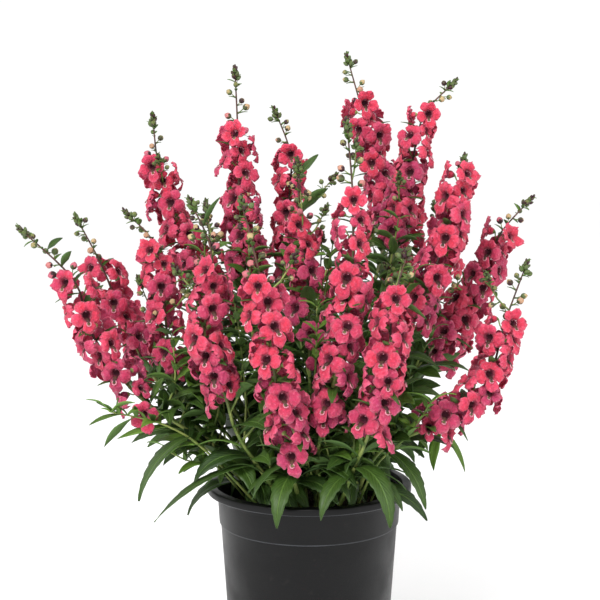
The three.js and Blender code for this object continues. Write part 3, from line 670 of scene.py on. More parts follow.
# Single flowers that stand apart from the rest: the stem, the depth, the side and the distance
LATE_FLOWERS = [
    ("left_outer", 158, 262, 26),
    ("left_high", 72, 195, 13.5),
    ("left_tall", 112, 350, 13.5),
    ("left_tall", 138, 345, 13.5),
    ("centre_slim", 112, 225, 13.5),
    ("centre_slim", 130, 275, 13.5),
    ("centre_slim", 150, 300, 13.5),
    ("centre", 150, 300, 13.5),
]
LATE_TILT = 0.2
LATE_SIZE = 0.9
LATE_AGE = 0.9

# Lobes: angle from the top, half the angle that each takes up round the pouch, distance of foot
# and tip, half width, swell in the middle and height of the tip, all in flower radii
Lobe = namedtuple("Lobe", "angle spread foot tip half swell end")
LOBES = [
    Lobe(-24, 37, 0.24, 0.99, 0.4, 0.26, 0),
    Lobe(24, 37, 0.24, 0.97, 0.4, 0.2, 0.04),
    Lobe(-101, 42, 0.2, 1, 0.48, 0.22, -0.02),
    Lobe(101, 42, 0.2, 1, 0.48, 0.22, -0.02),
    Lobe(180, 38, 0.28, 1.2, 0.42, 0.3, 0.12),
]
LOBE_TURN = (-7, 7)
LOBE_REACH = (0.92, 1.02)
LOBE_END = (-0.32, 0.16)
LOBE_WIDTH = (0.9, 1.06)
LOBE_CURL = (0, 0.3)
LOBE_VARIETY = 0.35
HALF_OPEN = 0.5
OPENED = 0.14
PETAL_THICKNESS = 0.28
POUCH_WIDTH = 0.26
POUCH_HEIGHT = 0.25
POUCH_MIDDLE = 0.04
POUCH_RIM = -0.08
POUCH_DEPTH = 0.272
BACK_DEPTH = 0.48
BACK_WIDTH = 0.16
BACK_MIDDLE = 0.08
TONGUE_WIDTH = (0.14, 0.08)
TONGUE_TOP = -0.15
TONGUE_LENGTH = 0.36
TONGUE_RISE = (-0.04, 0.25)
RIDGE = ((-0.08, -0.37), (-0.13, -0.46), (-0.1, -0.56), (0, -0.6), (0.1, -0.56), (0.13, -0.46),
         (0.08, -0.37))
RIDGE_RADIUS = 0.043
ANTHER_RADIUS = 0.035
STALK_RADIUS = 0.42

# Calyx: distance from the axis and height of its end, its side, a notch and a point of its rim
CALYX = ((0, -0.62), (0.1, -0.56), (0.17, -0.46), (0.26, -0.3))
PETAL, POUCH, PALE, GREEN = 0, 1, 2, 3


def flower_frame(line, depth, angle, tilt, reach, rise):
    """The middle of a flower, and its directions to the side, up and to the front"""
    tangent = line.tangent(depth)
    out = line.outward(depth, angle)
    middle = line.at(depth) + out * reach + tangent * rise
    face = Vector((out.x, out.y, out.z * 0.4 + tilt)).normalized()
    lean = UP * 0.7 + tangent * 0.3
    up = (lean - face * face.dot(lean)).normalized()
    return middle, up.cross(face), up, face


def flower_angle(i, facing):
    """The spiral of the flowers round a stem, drawn in towards the side that they face"""
    turn = (i * GOLDEN_ANGLE + 180) % 360 - 180
    return facing + turn - math.degrees(FACING_BIAS * math.sin(math.radians(turn)))


def flower_between(line, depth, facing, seed, taken):
    """The freest place for a smaller flower among those that the CAD has, or None"""
    best, room = None, BETWEEN_ROOM
    for step in range(BETWEEN_TURNS):
        for reach in BETWEEN_REACH:
            angle = facing + 360 / BETWEEN_TURNS * step + 12 * draw(seed, 90)
            place = flower_frame(line, depth, angle, FLOWER_TILT * draw(seed, 91), reach, BETWEEN_RISE)
            clear = min((place[0] - other).length for other in taken)
            clear += 1.2 * math.cos(math.radians(angle - facing))
            if clear > room:
                best, room = place, clear
    return best


def cad_outline(place, radius):
    middle, side, up, face = place
    outline = []
    for angle, reach, height in HALF_OUTLINE:
        for hand in (-1, 1):
            turn = math.radians(hand * angle)
            flat = side * (reach * math.sin(turn)) + up * (reach * math.cos(turn))
            outline.append(middle + (flat + face * height) * radius)
    return outline


def grow_petal(shape, spot, lobe, curl, phase, **look):
    """A lobe that leaves the rim of the pouch and spreads to a round, wavy blade"""
    way_x, way_y = math.sin(math.radians(lobe.angle)), math.cos(math.radians(lobe.angle))

    def petal_spot(u, w):
        turn = math.radians(lobe.angle + u * lobe.spread)
        narrow_foot = 0.8 + 0.2 * math.sin(min(2.2 * w, 1.57))
        round_tip = math.sqrt(1 - (max(w - 0.6, 0) / 0.56) ** 2)
        across = lobe.half * u * narrow_foot * round_tip
        reach = mix(lobe.foot, lobe.tip, w - 0.22 * u * u * w**3)
        free = min(2.4 * w, 1)
        x = mix(POUCH_WIDTH * math.sin(turn), way_y * across + way_x * reach, free)
        y = mix(POUCH_MIDDLE + POUCH_HEIGHT * math.cos(turn), way_y * reach - way_x * across, free)
        height = mix(POUCH_RIM, lobe.end, w * w) + lobe.swell * math.sin(math.pi * min(w * 1.08, 1))
        waves = (0.04 + 0.06 * w) * w * math.sin(2.3 * math.pi * u + phase)
        return spot(x, y, height - (curl * u * u * w + waves))

    sheet(shape, 6, 4, petal_spot, thickness=PETAL_THICKNESS, finish=PETAL, **look)


def grow_pouch(shape, spot, radius, chance, **look):
    """The pouch, its round back, the ridge over its dark tongue, and the anthers in its roof"""

    def pouch_spot(u, w):
        turn = -math.pi * u
        size = math.sin(math.pi / 2 * w)
        return spot(POUCH_WIDTH * size * math.sin(turn), POUCH_MIDDLE + POUCH_HEIGHT * size * math.cos(turn),
                    POUCH_RIM - POUCH_DEPTH * math.cos(math.pi / 2 * w))

    def back_spot(u, w):
        turn = math.pi * u
        narrow = min(w * 1.25, 1)
        bulge = 1 + 0.35 * math.sin(math.pi * narrow) if w < 0.99 else 0
        wide = mix(POUCH_WIDTH, BACK_WIDTH, narrow) * bulge
        high = mix(POUCH_HEIGHT, BACK_WIDTH, narrow) * bulge
        return spot(wide * math.sin(turn), mix(POUCH_MIDDLE, BACK_MIDDLE, narrow) + high * math.cos(turn),
                    mix(POUCH_RIM, -BACK_DEPTH, narrow))

    def tongue_spot(u, w):
        return spot(mix(*TONGUE_WIDTH, w) * u, TONGUE_TOP - TONGUE_LENGTH * w,
                    mix(*TONGUE_RISE, math.sin(1.57 * w)) - 0.03 * u * u)

    sheet(shape, 10, 4, pouch_spot, finish=POUCH, chance=chance, **look)
    sheet(shape, 10, 5, back_spot, finish=PETAL, chance=chance, **look)
    ridge = [spot(x, y, 0.0075 - 0.45 * y) for x, y in RIDGE]
    stalk(shape, ridge, lambda f: RIDGE_RADIUS * radius, 4, finish=PALE, chance=chance, **look)
    sheet(shape, 2, 3, tongue_spot, thickness=PETAL_THICKNESS, finish=GREEN, age=-0.55, chance=chance)
    anthers = [spot(0.03 * i, POUCH_MIDDLE + 0.2, POUCH_RIM - 0.06) for i in (-1, 0, 1)]
    stalk(shape, anthers, lambda f: ANTHER_RADIUS * radius, 4, finish=PALE, chance=chance, **look)


def grow_calyx(shape, spot, line, depth, chance):
    """The calyx with its five points, and the stalk that bends up to it from the stem"""

    def calyx_spot(u, w):
        turn = math.pi * u
        end, side, notch, point = CALYX
        rim = [mix(low, high, 0.5 + 0.5 * math.cos(5 * turn)) for low, high in zip(notch, point)]
        wide, forward = (end, side, rim)[round(2 * w)]
        return spot(wide * math.sin(turn), BACK_MIDDLE + wide * math.cos(turn), forward)

    sheet(shape, 10, 2, calyx_spot, finish=GREEN, age=0.3, chance=chance)
    root, end = line.grown(depth), spot(0, BACK_MIDDLE, -0.58)
    bend = root.lerp(end, 0.55) + line.tangent(depth) * -0.8
    stalk(shape, [root, root.lerp(bend, 0.6), bend, end], lambda f: STALK_RADIUS * mix(0.9, 1.3, f), 5,
          finish=GREEN, age=0.15, chance=chance)


def grow_flower(shape, line, depth, place, radius, seed, age):
    middle, side, up, face = place
    chance = draw(seed, 30)
    sways = [math.radians(pick(FLOWER_SWAY, seed, kind)) for kind in (21, 22, 23)]
    turn = Matrix.Rotation(sways[0], 3, up) @ Matrix.Rotation(sways[1], 3, side)
    turn = turn @ Matrix.Rotation(sways[2], 3, face)
    side, up, face = turn @ side, turn @ up, turn @ face

    def spot(x, y, z):
        return middle + (side * x + up * y + face * z) * radius

    closed = mix(HALF_OPEN, 0, min(age / OPENED, 1))
    for i, lobe in enumerate(LOBES):
        varied = lobe._replace(
            angle=lobe.angle + pick(LOBE_TURN, seed, 31 + i),
            tip=lobe.tip * pick(LOBE_REACH, seed, 41 + i),
            end=lobe.end + pick(LOBE_END, seed, 51 + i) + closed,
            half=lobe.half * pick(LOBE_WIDTH, seed, 56 + i),
        )
        grow_petal(shape, spot, varied, pick(LOBE_CURL, seed, 61 + i), 6 * draw(seed, 71 + i),
                   age=age, chance=mix(chance, draw(seed, 81 + i), LOBE_VARIETY))
    grow_pouch(shape, spot, radius, chance, age=age)
    grow_calyx(shape, spot, line, depth, chance)


# Petal: soft coral that turns to magenta with age, paler beside the pouch, with fine darker veins
# that fan out from its foot, where painted shade darkens it; paler along its edge and towards its
# tip, partly its own tone and partly painted highlight; the outside is paler
petal_skin = Finish("petal_skin", {
    "Specular IOR Level": 0.3, "Subsurface Weight": 0.25, "Subsurface Scale": 0.0012,
    "Subsurface Radius": (1, 0.35, 0.4), "Sheen Weight": 0.1, "Sheen Roughness": 0.5,
})
across, along = petal_skin.sheet_place()
age, chance, under = [petal_skin.attribute(name) for name in GROWN_MARKS]
cloud = petal_skin.grain(180)
crinkle = petal_skin.grain(520)
from_middle = abs(across - 0.5) * 2
ripeness = (age * 0.5 + chance * 0.75 + cloud * 0.3).between(0.35, 1.4)
coral = cloud.between(0.35, 0.65).blend(0xC42642, 0xD23350)
tinted = ripeness.blend(coral, 0x9E2A5A)
mottled = (petal_skin.grain(420, 4).between(0.42, 0.7) * 0.5).blend(tinted, 0x8E1A3A)
veins = ((across - 0.5) * (1.3 - along * 0.6) * 75).wave().between(0.3, 1) * (1 - along)
# Painted shade: darker crimson at the foot of each lobe, where it leaves the pouch
foot = 1 - along.between(0.02, 0.3)
veins_and_painted_foot_shade = (veins * 0.3 + foot * 0.35).blend(mottled, 0x7A1030)
# Paler beside the pouch, its own pale ring; paler along the side edges and towards the tip, partly its own
# tone and partly painted highlight
pale = (1 - along.between(0, 0.12)) * 0.6 + (from_middle**5 * 0.3 + along.between(0.6, 1) * 0.32)
pale_and_painted_highlight = (pale + crinkle.between(0.5, 0.72) * 0.34).blend(veins_and_painted_foot_shade, 0xDE6E88)
creases = petal_skin.grain(900) * 0.4 + petal_skin.grain(260, 2) * 1.2 + crinkle + veins * 0.3
petal_skin.show(
    colour=(under * 0.4).blend(pale_and_painted_highlight, 0xA84468),
    roughness=0.5 + 0.15 * cloud,
    bump=creases.bump(0.0009),
)

# Pouch: dark maroon with pale freckles round the front; painted shade darkens it to almost black in its
# depth
pouch_skin = Finish("pouch_skin", {"Specular IOR Level": 0.12})
rim = pouch_skin.sheet_place()[1]
freckles = (pouch_skin.grain(900) + rim * 0.35).between(0.62, 0.78)
# Painted shade: near-black towards the depth of the pouch, its own maroon at the rim
maroon_and_painted_depth_shade = rim.between(0.55, 1).blend(0x35101A, 0x7A2434)
pouch_skin.show(
    colour=(freckles * rim * 0.4).blend(maroon_and_painted_depth_shade, 0x9A4A60),
    roughness=0.6,
    bump=pouch_skin.grain(1200).bump(0.0003),
)

# Ridge and anthers: waxy pale pink, speckled with maroon
pale_skin = Finish("pale_skin", {"Specular IOR Level": 0.4})
specks = pale_skin.grain(1600, 2).between(0.58, 0.68)
pale_skin.show(
    colour=(specks * 0.5).blend(0xCC8492, 0x94405C),
    roughness=0.45,
    bump=specks.bump(0.0002),
)

flower_middles = []
for k, spike in enumerate(SPIKES):
    name = spike.name
    line = stem_lines[name]
    corners = cad_corners(f"bloom_{name}")
    shape = sprout()
    own = []
    for i in range(spike.flowers):
        f = (i + 0.5) / spike.flowers
        seed = SEEDS_PER_SPIKE * k + i
        depth = mix(*spike.bloom, f)
        angle = flower_angle(i, spike.facing) + pick(FLOWER_JITTER, seed, 1)
        tilt = FLOWER_TILT * draw(seed, 2)
        radius = FLOWER_RADIUS * mix(YOUNG_FLOWER, 1, min(3 * f, 1))
        for reach, rise, turn in FLOWER_CHANGES:
            place = flower_frame(line, depth, angle + turn, tilt, FLOWER_REACH + reach, FLOWER_RISE + rise)
            if stands_in(corners, cad_outline(place, radius)):
                grow_flower(shape, line, depth, place, radius * pick(FLOWER_SIZE, seed, 5), seed, f)
                own.append(place[0])
                break
    for i in range(0, spike.flowers, 2 if name in OPEN_SPIKES else 1):
        f = (i + 1) / spike.flowers
        depth = mix(*spike.bloom, f) - 3
        seed = 1000 + SEEDS_PER_SPIKE * k + i
        place = flower_between(line, depth, spike.facing, seed, own)
        if place:
            grow_flower(shape, line, depth, place, FLOWER_RADIUS * pick(BETWEEN_SIZE, seed, 4), seed, f)
            own.append(place[0])
    for i, depth, angle, reach in rows_of(name, LATE_FLOWERS):
        place = flower_frame(line, depth, angle, LATE_TILT, reach, FLOWER_RISE)
        grow_flower(shape, line, depth, place, LATE_SIZE * FLOWER_RADIUS, 2000 + i, LATE_AGE)
        own.append(place[0])
    flower_middles += own
    flowers = made_of(f"flowers_{name}", shape, petal_skin, pouch_skin, pale_skin, stem_skin)
    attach(flowers, "root")
    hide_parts(f"bloom_{name}")

# Buds: each on a thin stalk above a small bract, with five green sepals round the folded petals,
# which are green at first, then cream, and pink before they open. The youngest crowd the tip.

BUD_STEP = 11.5
BUD_STALK = 6
BUD_RADIUS = 2.4
BUD_LENGTH = 2.2
BUD_SWELL = 1.18
BUD_GAP = 2
BUD_LIFT = 0.55
BUD_TURNS = (0, 35, -35, 70, -70, 110, -110)
YOUNG_BUD = 0.62
GROWN_BUD_DEPTH = 45
BRACT_LENGTH = 8.5
BRACT_WIDTH = 3.4
BRACT_RISE = 0.5
BRACT_THICKNESS = 0.25
TIP_BUDS = 11
TIP_BUD_LENGTH = (3.2, 4.6)
TIP_BRACTS = 5
TIP_BRACT_LENGTH = (4, 7.5)
TIP_BRACT_RATIO = 0.55
SIDE_STEM_RADIUS = (0.35, 0.75)
SIDE_STEP = 6
SIDE_BUDS_DEPTH = 48
STALK, BUD, BLADE = 0, 1, 2

# The form of a bud, and of one at the tip: the part of its length, and its part of the radius
BUD_FORM = ((0, 0.3), (0.16, 0.78), (0.42, 1), (0.66, 0.9), (0.88, 0.5), (1, 0.12))
TIP_BUD_FORM = ((0, 0.5), (0.35, 1), (0.75, 0.8), (1, 0.2))

# Young side spikes, still in bud: the spike that each grows from, how far down it, and its tip
SIDE_SPIKES = [
    ("left_tall", 140, (-88, -5, 355)),
    ("left_front", 50, (-72, -40, 352)),
    ("front_right", 32, (64, -70, 322)),
    ("centre_slim", 66, (-8, -30, 382)),
    ("front_tall", 44, (32, -45, 396)),
    ("centre_slim", 60, (13, -25, 351)),
    ("left_high", 56, (-113, 25, 388)),
    ("right_tall", 110, (65, -5, 374)),
    ("front_left", 68, (-8, -92, 322)),
    ("right_front", 38, (119, -60, 306)),
    ("left_front", 74, (-93, -65, 311)),
    ("back_4", 44, (100, 84, 352)),
    ("back_1", 56, (-98, 80, 322)),
    ("back_2", 32, (-14, 112, 318)),
    ("front_tall", 100, (45, -60, 337)),
    ("left_inner", 84, (-79, -40, 305)),
    ("left_inner", 100, (-123, -20, 300)),
    ("right_outer", 90, (92, -10, 309)),
    ("right_inner", 100, (51, -45, 311)),
    ("centre_slim", 34, (20, -9, 373)),
]


def cad_ring(centre, axis, radius, sides):
    """The corners of a CAD section"""
    side = (Vector((1, 0, 0)) - axis * axis.x).normalized()
    front = axis.cross(side)
    turns = [2 * math.pi * i / sides for i in range(sides)]
    return [centre + side * (radius * math.cos(t)) + front * (radius * math.sin(t)) for t in turns]


def bud_angle(k, i):
    return 97 * k + GOLDEN_ANGLE * i


def bract(shape, root, way, length, width, **look):
    """A small pointed leaf that leaves along a way and curves up and then out"""
    across = way.cross(UP).normalized()
    normal = across.cross(way)

    def spot(u, w):
        half = width / 2 * math.sin(math.pi * min(w * 0.85 + 0.12, 1)) ** 0.8
        curl = 0.28 * length * w * w
        return root + way * (length * w) + across * (half * u) + normal * (0.35 * half * abs(u) - curl)

    sheet(shape, 2, 4, spot, thickness=BRACT_THICKNESS, finish=BLADE, **look)


def folded_bud(shape, foot, way, length, radius, form, sides, **look):
    points = [foot + way * (length * part) for part, _ in form]
    stalk(shape, points, lambda f: radius * form[round(f * (len(form) - 1))][1], sides, finish=BUD, **look)


def bud(shape, line, depth, angle, size, age, chance):
    """A bud with its stalk and its bract"""
    way = line.upward(depth, angle, BUD_LIFT)
    neck = line.at(depth) + way * (BUD_STALK * size)
    root = line.grown(depth)
    bend = (root + neck) / 2 - line.tangent(depth) * 0.6
    stalk(shape, [root, bend, neck], lambda f: STALK_RADIUS * size, 5, finish=STALK, age=0.1, chance=chance)
    radius = BUD_SWELL * BUD_RADIUS * size
    folded_bud(shape, neck, way, BUD_LENGTH * radius, radius, BUD_FORM, 8, age=age, chance=chance)
    bract(shape, line.grown(depth + 1), line.skyward(depth, angle, BRACT_RISE),
          BRACT_LENGTH * size, BRACT_WIDTH * size, age=0.3, chance=chance)


def grow_buds(shape, spike, k, line):
    """Buds from below the tip to the first flowers: those of the CAD, and one between each two"""
    corners = cad_corners(f"stem_{spike.name}")
    top, first_flower = TIP_LENGTH + BUD_GAP, spike.bloom[0]
    for i in range(math.ceil((first_flower - BUD_GAP - top) / BUD_STEP)):
        depth = top + BUD_STEP * i
        size = mix(YOUNG_BUD, 1, min(depth / GROWN_BUD_DEPTH, 1))
        for turn in BUD_TURNS:
            way = line.upward(depth, bud_angle(k, i) + turn, BUD_LIFT)
            belly = line.at(depth) + way * ((BUD_STALK + BUD_RADIUS) * size)
            tip = belly + way * (1.3 * BUD_RADIUS * size)
            if stands_in(corners, cad_ring(belly, way, BUD_RADIUS * size, 3) + [tip]):
                bud(shape, line, depth, bud_angle(k, i) + turn, size, depth / first_flower, draw(i, k))
                break
        between = depth + BUD_STEP / 2
        size = 0.9 * mix(YOUNG_BUD, 1, min(between / GROWN_BUD_DEPTH, 1))
        bud(shape, line, between, bud_angle(k, i) + 190, size, between / first_flower, draw(i, k + 50))


def grow_tip(shape, line, k, size=1):
    """A tight spiral of tiny buds round the end of a stem, smaller towards the top"""
    for i in range(TIP_BUDS):
        f = i / (TIP_BUDS - 1)
        depth = mix(1.2, (TIP_LENGTH + 1) * size, f)
        out = line.outward(depth, bud_angle(k, i))
        way = (out * mix(0.3, 1, f) + line.tangent(depth)).normalized()
        start = line.grown(depth) + out * (size * mix(0.2, 0.9, f))
        folded_bud(shape, start, way, size * mix(*TIP_BUD_LENGTH, f), size * mix(1, 1.7, f), TIP_BUD_FORM, 6,
                   age=0.15 * f, chance=draw(i, k + 9))
    for i in range(TIP_BRACTS):
        f = i / (TIP_BRACTS - 1)
        depth = mix(2, 1.7 * TIP_LENGTH * size, f)
        way = line.upward(depth, 70 * k + GOLDEN_ANGLE * i, mix(1.6, 0.6, f))
        length = size * mix(*TIP_BRACT_LENGTH, f)
        bract(shape, line.grown(depth), way, length, TIP_BRACT_RATIO * length,
              age=0.55, chance=draw(i, k + 19))


class SideLine(StemLine):
    """The centre line of a side spike, from its tip down to the stem that it grows from"""

    def __init__(self, carrier, depth, tip):
        root, tip = carrier.grown(depth), Vector(tip)
        way = carrier.tangent(depth)
        rise = (tip - root).length
        near = root.lerp(tip, 0.3) - way * (0.05 * rise) + (tip - root).cross(way).cross(way) * -0.1
        self.run_through([tip, near.lerp(tip, 0.5) - way * (0.03 * rise), near, root])
        self.corners, self.marks = self.curve, self.depths


def grow_side_spike(shape, line, k):
    """A side spike: buds near its tip and bracts below them"""
    stops = line.stops(1, max(4, math.ceil(line.length / 8)))
    stalk(shape, stops, lambda f: mix(*SIDE_STEM_RADIUS, f), 6, finish=STALK, age=0.08)
    grow_tip(shape, line, k, 0.85)
    for i in range(int((line.length - 12) / SIDE_STEP)):
        depth = 9 + SIDE_STEP * i
        if depth < SIDE_BUDS_DEPTH:
            size = mix(0.5, 0.85, min(depth / 40, 1))
            bud(shape, line, depth, bud_angle(k, i), size, mix(0.1, 0.9, depth / 50), draw(i, k + 70))
        else:
            way = line.skyward(depth, 40 * k + 90 * i, BRACT_RISE)
            bract(shape, line.grown(depth), way, 2.2 * BRACT_LENGTH, 1.6 * BRACT_WIDTH, age=0.3)


# Bud skin: the sepals reach up in five points over the petals, which ripen with age
bud_skin = Finish("bud_skin", {
    "Specular IOR Level": 0.4, "Subsurface Weight": 0.1, "Subsurface Scale": 0.001,
})
around, along = bud_skin.sheet_place()
age, chance = bud_skin.attribute("age"), bud_skin.attribute("chance")
teeth = abs((around * (5 * math.pi)).wave()) * 0.16
petals = (along - teeth - 0.6 + age * 0.3).between(-0.03, 0.04)
cream = age.between(0.2, 0.6).blend(0x56682A, 0xB49C72)
folded = (age + chance * 0.3).between(0.75, 1.1).blend(cream, 0xB4586A)
purple = (chance * 0.7 + bud_skin.grain(400, 2)).between(0.65, 1.1)
sepals = purple.blend(0x546438, 0x38181E)
bud_skin.show(
    colour=petals.blend(sepals, folded),
    roughness=0.5,
    bump=((around * 63).wave() * 0.3 + bud_skin.grain(1800)).bump(0.00025),
)

# Leaf skin: veins run forward from a pale midrib, and the underside is paler and duller. The
# bracts have it too.
leaf_skin = Finish("leaf_skin", {"Specular IOR Level": 0.3})
across, along = leaf_skin.sheet_place()
age, chance, under = [leaf_skin.attribute(name) for name in GROWN_MARKS]
from_rib = abs(across - 0.5) * 2
midrib = 1 - from_rib.between(0.02, 0.12)
veins = ((along * 75 - from_rib * 22).wave() * 0.5 + 0.5).between(0.72, 1) * (1 - from_rib * 0.7)
mottle = leaf_skin.grain(330, 5).between(0.3, 0.7)
blade = (mottle * 0.5 + chance * 0.5).blend(0x1A3010, 0x2E4618)
fresh = age.blend(blade, 0x6E9432)
veined = (midrib * 0.32 + veins * 0.15).blend(fresh, 0x6E9040)
leaf_skin.show(
    colour=(under * 0.5).blend(veined, 0x52703A),
    roughness=0.4 + 0.2 * under + 0.08 * mottle,
    bump=(leaf_skin.grain(700) * 0.5 - veins * 0.5 - midrib).bump(0.00035),
)

for k, spike in enumerate(SPIKES):
    name = spike.name
    line = stem_lines[name]
    shape = sprout()
    grow_tip(shape, line, k)
    grow_buds(shape, spike, k, line)
    for i, depth, tip in rows_of(name, SIDE_SPIKES):
        grow_side_spike(shape, SideLine(line, depth, tip), i)
    buds = made_of(f"buds_{name}", shape, stem_skin, bud_skin, leaf_skin)
    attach(buds, "root")
    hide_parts(f"stem_{name}")

# Leaves: narrow, keeled and glossy dark green, with a pale midrib and forward teeth on the outer
# half. They clasp the stem below the flowers, and the lowest droop over the rim of the pot.

# Where a leaf points, how steeply it leaves the stem, how far it bends down, its length, how far
# it rolls to one side, and its width as part of its length
Leaf = namedtuple("Leaf", "angle rise bend length roll ratio")
LEAF_RATIO = 0.26
LEAF_FOLD = 0.16
LEAF_FULLNESS = 1.04
LEAF_STEPS = 12
LEAF_THICKNESS = 0.4
TOOTHED_FROM = 38
TOOTH_ROWS = 4
TOOTH_DEPTH = 0.2
CAD_LEAF_ROWS = 28
LEAF_CHANGES = [(size, lift, turn) for size in (1, 0.85) for lift in (0, 14, -14)
                for turn in (0, 14, -14, 28, -28, 42, -42)]
TOOTHED_EDGE = ((0.14, 0.42), (0.44, 1), (0.55, 0.78), (0.74, 0.66))
PLAIN_EDGE = ((0.16, 0.5), (0.45, 1), (0.75, 0.62))

# Leaves below the flowers, from the highest to the lowest on a stem
BELOW_BLOOM = 8
ABOVE_SOIL = 10
LEAF_SPREAD = (35, 85)
LEAF_RISE = (40, 18)
LEAF_BEND = (60, 105)
LEAF_LENGTH = (42, 60)
LEAF_ROLL = (0, 35)

# Smaller leaves that fill the middle of the plant, in pairs up the stems and on leafy twigs
PAIR_STEP = 12
INNER_LENGTH = (32, 50)
INNER_RISE = (60, 15)
INNER_BEND = (50, 110)
INNER_ROLL = (-60, 60)
INNER_RATIO = (0.23, 0.31)
INNER_TURNS = (0, 30, -30, 60, -60)
TWIGS = 5
TWIG_REACH = (12, 34)
TWIG_RISE = (35, 75)
TWIG_STEP = 9
TWIG_RADIUS = (0.5, 1)
BLOOM_LEAF = (14, 24)

# Room that the smaller leaves leave: to flowers, soil and rim, and where they would hide the label
FLOWER_ROOM = 10.5
SOIL_ROOM = 4
RIM_ROOM = 8
LABEL_MIDDLE = Vector((-52, 41, 180))
LABEL_ROOM = (14, 24)
LABEL_SIGHT = 0.21

# Large leaves that hang over the rim: the stem, and how far above its foot the leaf is rooted
RIM_LEAVES = [
    ("front_right", 58, Leaf(300, 20, 112, 62, 0, 0.26)),
    ("front_right", 50, Leaf(235, 15, 92, 50, -10, 0.24)),
    ("front_left", 44, Leaf(252, 25, 118, 56, 0, 0.26)),
    ("front_left", 58, Leaf(205, 10, 85, 42, 10, 0.3)),
    ("front_tall", 48, Leaf(318, 5, 60, 44, -15, 0.26)),
    ("right_front", 66, Leaf(305, -5, 68, 54, 0, 0.24)),
    ("left_front", 50, Leaf(208, 2, 48, 86, 0, 0.12)),
]

# Leaves that show between the spikes: the stem and the depth that they grow from, tip and ratio
UPPER_LEAVES = [
    ("centre_slim", 15, (6, -7, 386), 0.4),
    ("centre_slim", 42, (13, -11, 362), 0.44),
    ("right_tall", 123, (85, 12, 335), 0.14),
    ("back_3", 66, (100, 104, 302), 0.25),
    ("back_4", 60, (120, 89, 319), 0.34),
    ("back_7", 78, (-21, 93, 308), 0.24),
    ("left_front", 42, (-53, -65, 326), 0.24),
    ("left_front", 24, (-61, -59, 356), 0.16),
    ("left_low", 141, (-120, 9, 257), 0.24),
    ("right_outer", 141, (65, 17, 240), 0.36),
    ("right_outer", 126, (92, 19, 279), 0.3),
    ("back_5", 108, (117, 53, 224), 0.28),
    ("front_tall", 111, (26, -83, 287), 0.3),
    ("left_inner", 108, (-116, -20, 228), 0.28),
    ("right_outer", 93, (115, 22, 300), 0.22),
    ("back_5", 63, (110, 64, 217), 0.3),
    ("back_5", 147, (93, 39, 167), 0.3),
    ("front_right", 36, (76, -88, 277), 0.16),
    ("left_outer", 27, (-171, -44, 328), 0.3),
    ("left_outer", 42, (-165, -44, 319), 0.42),
    ("left_outer", 78, (-144, -40, 295), 0.3),
    ("left_outer", 159, (-128, -37, 222), 0.3),
    ("left_outer", 159, (-102, -37, 231), 0.3),
    ("left_low", 150, (-85, 8, 226), 0.26),
    ("back_5", 128, (102, 40, 210), 0.42),
    ("back_5", 106, (117, 47, 234), 0.36),
    ("back_5", 140, (98, 30, 196), 0.36),
    ("right_outer", 168, (87, 14, 245), 0.36),
    ("right_outer", 160, (98, 6, 222), 0.4),
]


def leaf_arc(root, form):
    """The midrib, bending down evenly, with the directions across the blade and out of it"""
    out = heading(form.angle)
    across = UP.cross(out)
    step = form.length / LEAF_STEPS
    points = [root]
    for i in range(LEAF_STEPS):
        turn = math.radians(form.rise - form.bend * (i + 0.5) / LEAF_STEPS)
        points.append(points[i] + out * (math.cos(turn) * step) + UP * (math.sin(turn) * step))

    def arc(f):
        place = min(f * LEAF_STEPS, LEAF_STEPS - 1e-6)
        i = int(place)
        turn = math.radians(form.rise - form.bend * f)
        face = UP * math.cos(turn) - out * math.sin(turn)
        tilt = math.radians(form.roll * min(2 * f, 1))
        side = across * math.cos(tilt) + face * math.sin(tilt)
        normal = face * math.cos(tilt) - across * math.sin(tilt)
        return points[i].lerp(points[i + 1], place - i), side, normal

    return arc


def leaf(shape, root, grown_from, form, age, chance, rows=8):
    """One blade in the CAD's place. Its foot runs in to the smooth stem that it has grown from."""
    arc = leaf_arc(root, form)
    half = form.length * form.ratio / 2
    toothed = form.length > TOOTHED_FROM

    def spot(u, w):
        place, side, normal = arc(w)
        if w < 0.2:
            place = place + (grown_from - root) * (1 - 5 * w)
        swell = math.sin(math.pi * (0.06 + 0.94 * w) ** 0.86) ** 0.85
        width = half * LEAF_FULLNESS * max(swell, 0.1 * (1 - w) + 0.02)
        if toothed and 0.3 < w < 0.97 and abs(u) > 0.9:
            width *= 1 + TOOTH_DEPTH * ((w * rows / TOOTH_ROWS) % 1 - 0.6)
        flutter = 0.08 * half * math.sin(9 * w + 2 * math.pi * chance + 2 * u) * abs(u) * w
        return place - side * (width * u) + normal * (LEAF_FOLD * abs(u) * width + flutter)

    sheet(shape, 4, rows, spot, thickness=LEAF_THICKNESS, finish=BLADE, age=age, chance=chance)


def leaf_as_in_cad(shape, corners, line, depth, form, age, chance):
    """Grows a leaf in the position that the CAD found free for it, if it has it at all"""
    root = line.at(depth)
    for size, lift, turn in LEAF_CHANGES:
        moved = form._replace(angle=form.angle + turn, rise=form.rise + lift, length=form.length * size)
        arc = leaf_arc(root, moved)
        half = moved.length * form.ratio / 2
        outline = [arc(1)[0]]
        for f, w in TOOTHED_EDGE if moved.length > TOOTHED_FROM else PLAIN_EDGE:
            place, side, normal = arc(f)
            outline += [place + side * (s * w * half) + normal * (LEAF_FOLD * w * half) for s in (-1, 1)]
        if stands_in(corners, outline):
            leaf(shape, root, line.grown(depth), moved, age, chance, CAD_LEAF_ROWS)
            return


